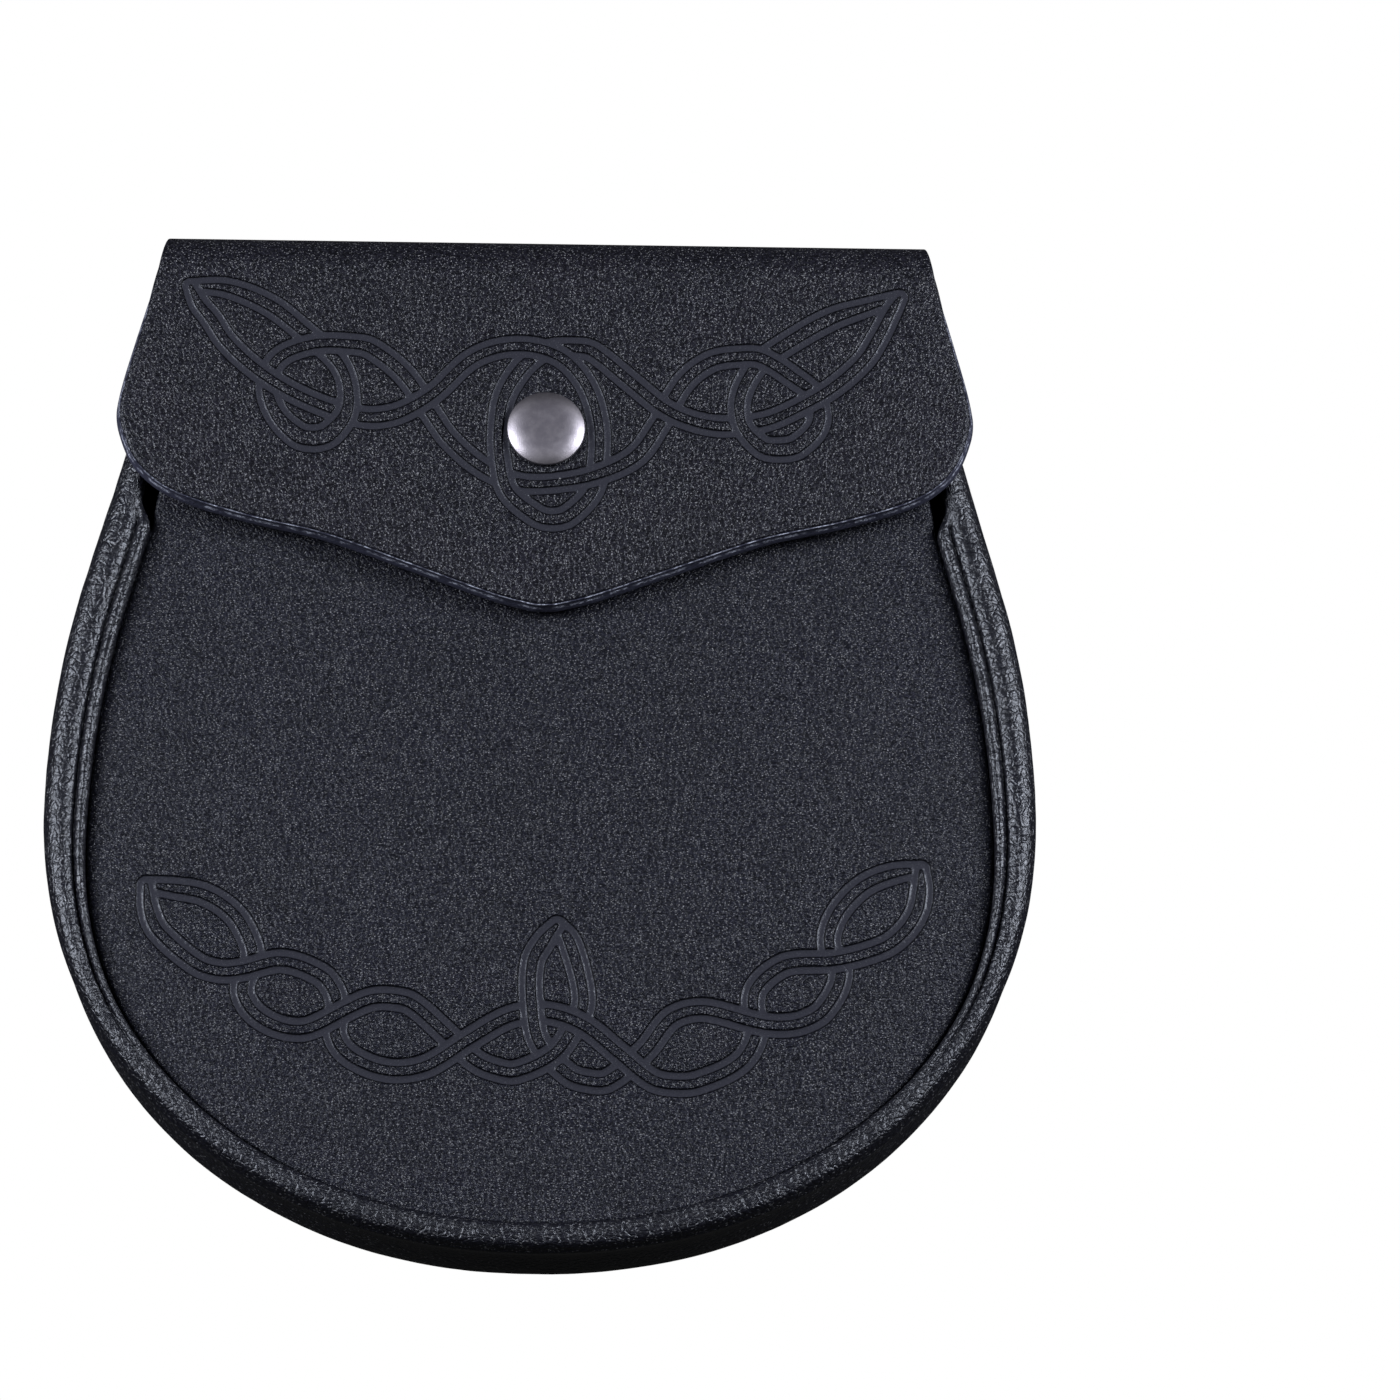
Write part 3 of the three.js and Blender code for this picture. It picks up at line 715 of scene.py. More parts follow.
def press(piece, top, outline, tables, crossings):
    """How far a sheet's outer face sinks at these points, for its knot and for its rounded edge.

    Each point of the sheet keeps how far it lies outside the knot's channels, for the finish.
    """
    knot = settings("pouch_knot")
    flat = points_of(piece)[top, :2]
    edge = press_edge(flat, interlaced(tables, crossings), knot.channel / MM)
    kept = np.full(len(piece.data.vertices), FAR)
    kept[top] = edge
    give(piece, "press_edge", kept)
    rim = np.concatenate([outline, (outline * (-1, 1))[::-1]])
    sunk = knot.depth / MM * ease(0, knot.wall / MM, -edge)
    return sunk + rounding(distance_to(rim, flat), EDGE_ROUNDING)


# Materials

class Number:
    """A number that changes over a surface. Sums of such numbers add the Math nodes they need."""

    def __init__(self, finish, socket):
        self.finish = finish
        self.socket = socket

    def _maths(self, operation, *values):
        return self.finish.number("ShaderNodeMath", {"operation": operation}, dict(enumerate(values)))

    def __add__(self, other):
        return self._maths("ADD", self, other)

    __radd__ = __add__

    def __sub__(self, other):
        return self._maths("SUBTRACT", self, other)

    def __rsub__(self, other):
        return self._maths("SUBTRACT", other, self)

    def __mul__(self, other):
        return self._maths("MULTIPLY", self, other)

    __rmul__ = __mul__

    def size(self):
        """Its distance from zero."""
        return self._maths("ABSOLUTE", self)

    def most(self, other):
        """The larger of two numbers."""
        return self._maths("MAXIMUM", self, other)

    def step(self, low, high):
        """A smooth step from 0 at one value to 1 at another."""
        return self.finish.number(
            "ShaderNodeMapRange", {"interpolation_type": "SMOOTHSTEP"},
            {"Value": self, "From Min": low, "From Max": high, "To Min": 0.0, "To Max": 1.0},
        )


class Finish:
    """One material and the nodes it is made of."""

    def __init__(self, name):
        self.material = bpy.data.materials.new(name)
        self.material.use_nodes = True
        self.tree = self.material.node_tree
        self.shader = self.tree.nodes["Principled BSDF"]
        self.coordinates = self.add("ShaderNodeTexCoord")

    def add(self, kind, choices=None, values=None):
        """A node with its choices set first, and then the values or links of its sockets."""
        node = self.tree.nodes.new(kind)
        for key, value in (choices or {}).items():
            setattr(node, key, value)
        for key, value in (values or {}).items():
            self.feed(node.inputs[key], value)
        return node

    def feed(self, socket, value):
        """Sets a socket or links it."""
        if isinstance(value, Number):
            value = value.socket
        if isinstance(value, bpy.types.NodeSocket):
            self.tree.links.new(value, socket)
        else:
            socket.default_value = value

    def number(self, kind, choices=None, values=None, output=0):
        """A node's output as a number."""
        return Number(self, self.add(kind, choices, values).outputs[output])

    def place(self, source="Object", turn=0.0, stretch=(1.0, 1.0, 1.0)):
        """A place on the surface, turned and stretched."""
        return self.add(
            "ShaderNodeMapping", None,
            {"Vector": self.coordinates.outputs[source], "Rotation": (0.0, 0.0, turn), "Scale": stretch},
        ).outputs[0]

    def moved(self, place, by, reach):
        """A place pushed about by a noise's colour."""
        return self.add(
            "ShaderNodeVectorMath", {"operation": "MULTIPLY_ADD"}, {0: by, 1: (reach,) * 3, 2: place}
        ).outputs[0]

    def clouds(self, place, size, detail=2.0, roughness=0.5):
        """Soft noise with clouds of that size, around 0.5."""
        return self.number(
            "ShaderNodeTexNoise", None,
            {"Vector": place, "Scale": 1 / size, "Detail": detail, "Roughness": roughness},
        )

    def cells(self, place, size, feature="F1"):
        """Distance within cells of that size."""
        return self.number(
            "ShaderNodeTexVoronoi", {"feature": feature}, {"Vector": place, "Scale": 1 / size}
        )

    def kept(self, name):
        """A number kept at the mesh's points."""
        return self.number("ShaderNodeAttribute", {"attribute_name": name}, None, output=2)

    def blend(self, factor, first, second):
        """One colour turning into another."""
        return self.add(
            "ShaderNodeMix", {"data_type": "RGBA"}, {0: factor, 6: first, 7: second}
        ).outputs[2]

    def bump(self, height, distance):
        """A bump of that height in metres."""
        return self.add("ShaderNodeBump", None, {"Height": height, "Distance": distance}).outputs[0]

    def set(self, **values):
        """Sets or links sockets of the shader itself."""
        for key, value in values.items():
            self.feed(self.shader.inputs[key.replace("_", " ")], value)


def shade(dye, factor=1.0):
    """A colour made lighter or darker."""
    return (*(min(1, part * factor) for part in dye[:3]), 1.0)


# The leather's patterns: their sizes in metres, or in widths of a pebble of the grain
PATCH_SIZE = 0.021
SMALL_PATCH_SIZE = 0.0035
DUST_SPACING = 0.0105
DUST_CLOUDS = 0.03
WANDER_SIZE = 3
WANDER_REACH = 0.9
FOLD_SIZE = 1.7
PORE_SIZE = 0.45
# The size of the painted glints' cells, in widths of a pebble
GLINT_SIZE = 0.8
# Where each pattern starts and where it is full
PATCHES = (0.3, 0.72)
FOLDS = (0.0, 0.16)
# The grain's tops: the hollows between them get painted shade
TOPS = (0.25, 0.8)
# The next two rows place painted glints, pale spots that stand in for light caught by the grain
GLINT_TOPS = (0.62, 0.88)
GLINT_PORES = (0.42, 0.6)
DUST = (0.012, 0.022)
DUSTY = (0.52, 0.6)
# How much each pattern adds to the grain's height, and how much the height changes from place to place
PEBBLE_HEIGHT = 0.62
FOLD_HEIGHT = 0.38
PORE_HEIGHT = 0.55
UNEVENNESS = 0.5
# The pressed knot, in millimetres from the channel's rim: its floor, which gets a painted sheen, and the line
# along its rim, a crease in the bump that also gets painted shade. The floor is pressed this many metres down
# in the bump, and keeps only a little of the grain.
CHANNEL_FLOOR = (-0.3, 0.05)
LINE_MIDDLE = 0.05
LINE_WIDTH = (0.03, 0.2)
LINE_HEIGHT = 0.4
PRESS_BUMP = 0.00022
FLATTENED = 0.75
# How much lighter or darker than the leather its patches are, and how dark its painted shade is in the
# hollows and along the knot's line
DARK_PATCH = 0.9
LIGHT_PATCH = 1.14
HOLLOW_PAINTED_SHADE = 0.05
LINE_PAINTED_SHADE = 0.08
# How far each colour covers the one under it: the painted shade in the hollows, the painted sheen on the
# channel floors, the painted shade line along the knot, and the dust
HOLLOW_PAINTED_COVER = 0.72
CHANNEL_SHEEN_COVER = 0.72
LINE_PAINTED_COVER = 0.85
DUST_COVER = 0.55
# How much rougher the pores are, and how much smoother the patches and the channels
PORE_ROUGHNESS = 0.12
PATCH_SHINE = 0.04
CHANNEL_SHINE = 0.05
# Colours: the painted glints, the painted sheen on the channel floors, the dust, and the tint of the shine
PAINTED_GLINT_COLOUR = (0.155, 0.16, 0.18, 1.0)
CHANNEL_PAINTED_SHEEN = (0.0195, 0.0205, 0.0285, 1.0)
DUST_COLOUR = (0.34, 0.35, 0.38, 1.0)
SHEEN_COLOUR = (0.8, 0.86, 1.0, 1.0)


def leather_finish(
    name, dye, grain, relief, gloss, source="Object", turn=0.0, stretch=1.0, pressed=False, painted_grain_light=1.0,
    shine=0.22,
):
    """Dyed leather with its pebble grain, wear and, where asked, pressed knotwork.

    The grain's hollows get painted shade and its tops painted glints. The knot's channel floors get painted
    sheen, and their rims a line of painted shade.
    """
    f = Finish(name)
    place = f.place(source)
    slanted = f.place(source, turn, (1.0, stretch, 1.0))
    wander = f.add(
        "ShaderNodeTexNoise", None, {"Vector": place, "Scale": 1 / (grain * WANDER_SIZE), "Detail": 1.0}
    )
    wandering = f.moved(slanted, wander.outputs["Color"], grain * WANDER_REACH)
    pebbles = f.cells(wandering, grain)
    folds = f.cells(wandering, grain * FOLD_SIZE, "DISTANCE_TO_EDGE")
    pores = f.clouds(slanted, grain * PORE_SIZE, 2.0, 0.6)
    tone = f.clouds(place, PATCH_SIZE, 3.0).step(*PATCHES)
    height = (1 - pebbles) * PEBBLE_HEIGHT + folds.step(*FOLDS) * FOLD_HEIGHT + pores * PORE_HEIGHT
    height = height * (1 + (f.clouds(place, SMALL_PATCH_SIZE, 2.0) - 0.5) * UNEVENNESS)
    tops = (1 - pebbles).step(*TOPS)
    # Painted glints: pale spots that stand in for light caught by the grain's tops
    painted_glints = (1 - f.cells(slanted, grain * GLINT_SIZE)).step(*GLINT_TOPS) * pores.step(*GLINT_PORES)
    base = f.blend(tone, shade(dye, DARK_PATCH), shade(dye, LIGHT_PATCH))
    # Painted shade: the grain's hollows darkened as if in shadow
    base = f.blend((1 - tops) * HOLLOW_PAINTED_COVER * painted_grain_light, base, shade(dye, HOLLOW_PAINTED_SHADE))
    base = f.blend(painted_glints * painted_grain_light, base, PAINTED_GLINT_COLOUR)
    rough = gloss + pores * PORE_ROUGHNESS - tone * PATCH_SHINE
    if pressed:
        edge = f.kept("press_edge")
        floor = 1 - edge.step(*CHANNEL_FLOOR)
        # The line along each channel's rim: a crease in the bump, and a line of painted shade in the colour
        line = 1 - (edge + LINE_MIDDLE).size().step(*LINE_WIDTH)
        height = height * (1 - floor * FLATTENED) - floor * (PRESS_BUMP / relief) - line * LINE_HEIGHT
        # Painted sheen: the pressed channel floors lighter than the leather round them
        base = f.blend(floor * (CHANNEL_SHEEN_COVER + pores * 0.3), base, CHANNEL_PAINTED_SHEEN)
        # Painted shade along each channel's rim
        base = f.blend(line * LINE_PAINTED_COVER, base, shade(dye, LINE_PAINTED_SHADE))
        rough = rough - floor * CHANNEL_SHINE
    dust = (1 - f.cells(place, DUST_SPACING).step(*DUST)) * f.clouds(place, DUST_CLOUDS).step(*DUSTY)
    base = f.blend(dust * DUST_COVER, base, DUST_COLOUR)
    f.set(Base_Color=base, Roughness=rough, Normal=f.bump(height, relief))
    f.set(Specular_IOR_Level=shine, Specular_Tint=SHEEN_COLOUR)
    return f.material


# The cut edge, as shares of the way through the leather: where its two lines of bare fibres lie, how far
# from each the fibres start and end, and how much the lines waver
UPPER_LINE = 0.12
UPPER_REACH = (0.04, 0.14)
MIDDLE_LINE = 0.56
MIDDLE_REACH = (0.03, 0.12)
LINE_WOBBLE = 0.16
# Its patterns, in metres: the strands of fibre, the breaks in the lines and their waves
STRAND_SIZE = 0.0007
BREAK_SIZE = 0.0022
WAVE_SIZE = 0.003
EDGE_RELIEF = 0.00018
# Where the breaks, the bare strands and the paler dye start and are full, and how pale that dye is
BREAKS = (0.38, 0.6)
BARE = (0.35, 0.7)
PALE = (0.4, 0.75)
PALE_SHADE = 3.0
PALE_COVER = 0.4
EDGE_ROUGHNESS = 0.78
EDGE_SHINE = 0.25


def cut_edge_finish(look):
    """The dyed cut edge of two layers of leather, with bare fibres along both of its upper lines."""
    f = Finish("cut_edge")
    place = f.place()
    through = f.kept("through")
    strands = f.clouds(f.place("Object", 0.2, (1.0, 1.0, 3.0)), STRAND_SIZE, 4.0, 0.7)
    broken = f.clouds(place, BREAK_SIZE, 3.0)
    wobble = (f.clouds(place, WAVE_SIZE, 2.0) - 0.5) * LINE_WOBBLE
    upper = 1 - (through + wobble - UPPER_LINE).size().step(*UPPER_REACH)
    middle = 1 - (through + wobble - MIDDLE_LINE).size().step(*MIDDLE_REACH)
    fuzzy = upper.most(middle) * broken.step(*BREAKS) * strands.step(*BARE)
    pale = strands.step(*PALE) * PALE_COVER
    base = f.blend(pale, shade(look.cut_edge), shade(look.cut_edge, PALE_SHADE))
    base = f.blend(fuzzy, base, shade(look.fibre))
    f.set(Base_Color=base, Roughness=EDGE_ROUGHNESS + strands * 0.1, Specular_IOR_Level=EDGE_SHINE)
    f.set(Normal=f.bump(strands + broken * 0.6, EDGE_RELIEF))
    return f.material


# The cap's patterns, in metres, and where its bright rim starts, as shares of its radius
MOTTLE_SIZE = 0.0022
METAL_GRAIN = 0.00022
SCRATCH_WIDTH = 0.0016
WORN_RIM = (0.45, 1.0)
SMOOTH_RIM = (0.6, 1.0)
CAP_RELIEF = 0.00003
# Where the worn clouds and the scratches start and are full, and how rough the metal is
WORN_CLOUDS = (0.35, 0.75)
SCRATCHES = (0.55, 0.7)
CAP_ROUGHNESS = 0.46


def metal_finish(look):
    """Antiqued nickel: darkened and mottled in the middle, worn bright towards the rim."""
    f = Finish("antiqued_nickel")
    place = f.place()
    rim = f.kept("from_axis")
    clouds = f.clouds(place, MOTTLE_SIZE, 4.0, 0.6)
    grains = f.clouds(place, METAL_GRAIN, 2.0, 0.6)
    scratches = f.clouds(f.place("Object", 0.6, (14.0, 1.0, 1.0)), SCRATCH_WIDTH, 2.0)
    worn = rim.step(*WORN_RIM) * 0.55 + clouds.step(*WORN_CLOUDS) * 0.45
    base = f.blend(worn, shade(look.patina), shade(look.nickel))
    rough = CAP_ROUGHNESS - rim.step(*SMOOTH_RIM) * 0.06 + grains * 0.1 + scratches.step(*SCRATCHES) * 0.05
    f.set(Base_Color=base, Roughness=rough, Metallic=1.0)
    f.set(Normal=f.bump(grains * 0.7 + clouds * 0.6 + scratches * 0.3, CAP_RELIEF))
    return f.material


def dress(piece, slot, *materials):
    """Gives a piece its materials and its body. The slot is not used."""
    slots = piece.data.materials
    for k, material in enumerate(materials):
        if k < len(slots):
            slots[k] = material
        else:
            slots.append(material)
    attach(piece, "root")


# Pieces

# How finely the sheets are laid out. The back keeps these rows of the outline.
BACK_STATIONS = [0, 3, 6, 10, 15, 20, 26, 32, 39, 46, 54, 62, 70, 78, 85, 90, 100, 110, 120, -1]
UPPER_BACK_ROWS = 8
FOLD_ROWS = 24
OUTLINE_STEP = 0.4
TIP_ROWS = 4
TIP_STEP = 1.3
CORNER_ROWS = 18
PLAIN_STEP = 2.2
# Where the knots' fine rows start and end, and how far beyond them the plain rows begin
FLAP_KNOT_LOW = 39.5
PANEL_KNOT_LOW = -74.0
PANEL_KNOT_HIGH = -25.0
BELOW_FLAP_KNOT = 0.3
ABOVE_PANEL_KNOT = 2.0
# How far the back reaches out under the gusset, past the seam, so that no light passes through it
BACK_OVERLAP = 0.8
# The flap's rounded tip: how far it reaches down, and how blunt it is
TIP_DROP = 0.14
TIP_BLUNTNESS = 1.6
# The leather gives a little round the snap
DENT_DEPTH = 0.22
DENT_RADIUS = 13.0
# What is nearly nothing, and how squarely a face looks one way
TOUCH = 0.01
HAIR = 0.05
SQUARELY = 0.99
ROUGHLY = 0.9
# How squarely a point looks sideways to lie on the flap's cut edge, and how deep that edge is in leathers
SIDEWAYS = 0.2
EDGE_DEPTH = 1.6
# The share of the front panel's faces that stay when its hidden inner side is thinned out
PANEL_SHARE = 0.55
# The slant of the front panel's grain, and how much longer than wide its pebbles are
PANEL_SLANT = math.radians(32)
PANEL_STRETCH = 1.5


def knot_rows(low, high, step):
    """Even heights through a knot."""
    return np.linspace(low, high, max(2, round((high - low) / step) + 1))


class AddBackAndFlap(bpy.types.Operator):
    """Adds the sheet of leather that is the back, the fold and the flap, with the flap's knot"""

    bl_idname = "pouch.back_and_flap"
    bl_label = "Back and flap"

    def execute(self, context):
        look = settings("pouch_leather")
        step = settings("pouch_knot").mesh_step / MM
        radius = (flap_top(TOP) - BACK_FACE) / (1 + 1 / math.cos(FRONT_TILT) + FRONT_SLOPE)
        fold_y = TOP - radius
        rows = self.back_rows(fold_y) + self.fold_rows(fold_y, radius)
        _, start_y, _, out_y, out_z, _ = rows[-1]
        outward = np.array((0.0, out_y, out_z))
        outline = self.outline(start_y)
        for half, y in self.flap_rows(outline, start_y, step):
            rows.append((half, y, flap_top(y), out_y, out_z, 0))
        piece = leather_sheet("flap_and_back_leather", rows, round(2 * FLAP_HALF_WIDTH / step), FLAP_LEATHER)
        self.make_plain(piece, fold_y, radius)
        groove_rim(piece, LAYER_GROOVE)
        self.bevel(piece, outward, start_y)
        places, through = points_of(piece), given(piece, "through")
        on_flap = (places[:, 2] > BACK_FACE + radius) & (places[:, 1] <= start_y + TOUCH)
        top = np.flatnonzero(on_flap & (through < OUTER_FACE))
        sunk = press(piece, top, outline, (FLAP_WAVE, FLAP_RINGS), FLAP_CROSSINGS)
        from_snap = np.hypot(places[top, 0], places[top, 1] - SNAP_Y)
        sunk += DENT_DEPTH * np.exp(-((from_snap / DENT_RADIUS) ** 2))
        places[top] -= sunk[:, None] * outward
        move_points(piece, places)
        smooth(piece)
        finish = leather_finish(
            "flap_leather", look.flap, look.fine_grain, relief=0.00015, gloss=0.3, pressed=True
        )
        dress(piece, "flap_leather", finish, cut_edge_finish(look))
        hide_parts("back_and_flap")
        return {"FINISHED"}

    def back_rows(self, fold_y):
        """The flat back, from its bottom up to the fold."""
        side = panel_side()
        side += BACK_OVERLAP * right_of(side)
        side[0, 0] = 0.0
        line = [tuple(side[k]) for k in BACK_STATIONS]
        end_half, low = side[-1, 0], GUSSET_END + CLEARANCE
        for share in np.linspace(0, 1, UPPER_BACK_ROWS + 1)[1:]:
            half = end_half + (FOLD_HALF_WIDTH - end_half) * ease(0, 1, share)
            line.append((half, low + (fold_y - low) * share))
        return [(half, y, BACK_FACE, 0, -1, 0) for half, y in line]

    def fold_rows(self, fold_y, radius):
        """The round fold over the top, up to where the flap starts."""
        flap_start = FLAP_OUTLINE[0, 1] * FLAP_HALF_WIDTH
        rows = []
        for share in np.linspace(0, 1, FOLD_ROWS + 1)[1:]:
            angle = -math.pi / 2 + (math.pi + FRONT_TILT) * share
            half = FOLD_HALF_WIDTH + (flap_start - FOLD_HALF_WIDTH) * share**2
            out_y, out_z = math.cos(angle), math.sin(angle)
            rows.append((half, fold_y + radius * out_y, BACK_FACE + radius * (1 + out_z), out_y, out_z, 0))
        return rows

    def outline(self, start_y):
        """The outline of the flap's outer face from the fold to the tip, drawn in by its bevelled edge."""
        half = FLAP_OUTLINE[:, 1] * FLAP_HALF_WIDTH
        y = start_y - FLAP_OUTLINE[:, 0] * (start_y - FLAP_TIP)
        line = curve_through(np.stack([half, y], axis=1), OUTLINE_STEP)
        line += right_of(line) * self.bevel_width(line[:, 1], start_y)[:, None]
        tip_half, tip_y = line[-1]
        share = np.linspace(0, 1, TIP_ROWS + 1)[1:]
        tip = np.stack([tip_half * np.sqrt(1 - share**TIP_BLUNTNESS), tip_y - TIP_DROP * share], axis=1)
        return np.concatenate([line, tip])

    def flap_rows(self, outline, start_y, step):
        """The flap's half widths and heights, finely through the knot and coarsely down to the tip."""
        heights = knot_rows(FLAP_KNOT_LOW, start_y, step)[::-1][1:]
        rows = [(np.interp(-y, -outline[:, 1], outline[:, 0]), y) for y in heights]
        low = outline[outline[:, 1] < FLAP_KNOT_LOW - BELOW_FLAP_KNOT]
        gone = np.concatenate([[0], np.cumsum(np.hypot(*np.diff(low, axis=0).T))])
        for at in np.arange(0, gone[-1], TIP_STEP):
            rows.append((np.interp(at, gone, low[:, 0]), np.interp(at, gone, low[:, 1])))
        return [*rows, tuple(low[-1])]

    def make_plain(self, piece, fold_y, radius):
        """Leaves no detail on the flat back and under the flap."""
        centres, normals = face_centres(piece), face_normals(piece)
        back = (centres[:, 2] < BACK_FACE + FLAP_LEATHER + HAIR) & (centres[:, 1] < GUSSET_END)
        back &= np.abs(normals[:, 2]) > SQUARELY
        under = (normals[:, 2] < -ROUGHLY) & (centres[:, 2] > BACK_FACE + radius) & (centres[:, 1] < fold_y)
        plain_faces(piece, back | under)

    def bevel_width(self, y, start_y):
        """How far the cut edge leans out at this height."""
        return EDGE_BEVEL * (1 - ease(start_y - BEVEL_FADE, start_y, y))

    def bevel(self, piece, outward, start_y):
        """Draws the cut edge of the flap out towards its inner face, as the knife leaves it."""
        through, places = given(piece, "through"), points_of(piece)
        away = read(piece.data.vertices, "normal", 3).astype(float)
        away -= (away @ outward)[:, None] * outward
        size = np.linalg.norm(away, axis=1)
        low = flap_top(places[:, 1]) - FLAP_LEATHER * EDGE_DEPTH
        rim = (through > OUTER_FACE) & (places[:, 2] > low) & (size > SIDEWAYS) & (places[:, 1] <= start_y)
        move = self.bevel_width(places[rim, 1], start_y) * through[rim] / size[rim]
        places[rim] += away[rim] * move[:, None]
        move_points(piece, places)


class AddFrontPanel(bpy.types.Operator):
    """Adds the front panel with its knot"""

    bl_idname = "pouch.front_panel"
    bl_label = "Front panel"

    def execute(self, context):
        look = settings("pouch_leather")
        step = settings("pouch_knot").mesh_step / MM
        outline, seam_end = self.outline(step)
        bottom = outline[0, 1]
        rows = [
            (half, y, panel_top(y), 0, 1, PANEL_CROWN * math.sin(math.pi * ease(bottom, seam_end, y)))
            for half, y in outline
        ]
        widest = outline[:, 0].max()
        piece = leather_sheet("front_panel_leather", rows, round(2 * widest / step), PANEL_LEATHER)
        thin_out(piece, np.flatnonzero(given(piece, "through") > INNER_FACE), PANEL_SHARE)
        groove_rim(piece, LAYER_GROOVE / 2)
        places, through = points_of(piece), given(piece, "through")
        top = np.flatnonzero(through < OUTER_FACE)
        places[top, 2] -= press(piece, top, outline, (PANEL_LEFT, PANEL_LONG, PANEL_RIGHT), PANEL_CROSSINGS)
        move_points(piece, places)
        smooth(piece)
        finish = leather_finish(
            "panel_leather", look.panel, look.fine_grain * 1.05, relief=0.00017, gloss=0.3,
            turn=PANEL_SLANT, stretch=PANEL_STRETCH, pressed=True,
        )
        dress(piece, "panel_leather", finish, cut_edge_finish(look))
        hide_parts("front_panel")
        return {"FINISHED"}

    def outline(self, step):
        """The panel's half widths and heights from its bottom up, and where its seam ends."""
        line = panel_side()
        line = line[line[:, 1] <= FRONT_SEAM_END]
        end_half, end_y = line[-1]
        heights = np.concatenate([
            knot_rows(PANEL_KNOT_LOW, PANEL_KNOT_HIGH, step),
            np.arange(PANEL_KNOT_HIGH + ABOVE_PANEL_KNOT, end_y, PLAIN_STEP),
        ])
        upper = np.stack([np.interp(heights, line[:, 1], line[:, 0]), heights], axis=1)
        corner = PANEL_TOP - end_y
        turn = np.linspace(0, math.pi / 2, CORNER_ROWS + 1)[1:]
        free = np.stack([end_half - corner * (1 - np.cos(turn)), end_y + corner * np.sin(turn)], axis=1)
        low = line[line[:, 1] < PANEL_KNOT_LOW]
        return np.concatenate([low, upper, line[-1:], free]), end_y


def half_section(width, open_share, plain_share, foot_depth):
    """Half of the gusset's section at one station, outer skin and inside, as inward and depth."""
    sewn = SEWN_SECTION + (PLAIN_SECTION - SEWN_SECTION) * plain_share
    table = sewn + (OPEN_SECTION - sewn) * open_share
    outer = table[:, :2] * (width, ROLL_HEIGHT)
    wall = outer + GUSSET_LEATHER * right_of(outer)
    foot = table[:, 2]
    inner = np.stack([
        wall[:, 0] + (outer[:, 0] - wall[:, 0]) * foot, wall[:, 1] + (foot_depth - wall[:, 1]) * foot,
    ], axis=1)
    return outer, inner


# The soft leather's swells, large and small, and its creases: how large and how high they are
SWELL_SIZE = 19.0
SWELL_HEIGHT = 0.22
SMALL_SWELL_SIZE = SWELL_SIZE / 3.1
SMALL_SWELL_HEIGHT = 0.1
CREASE_SIZE = 1 / 0.36
CREASE_HEIGHT = 0.07
# How many parts the skin has between each two points of its section
SKIN_PARTS = 5
# Points closer together than this, in metres, are one
SAME_POINT = 1e-6


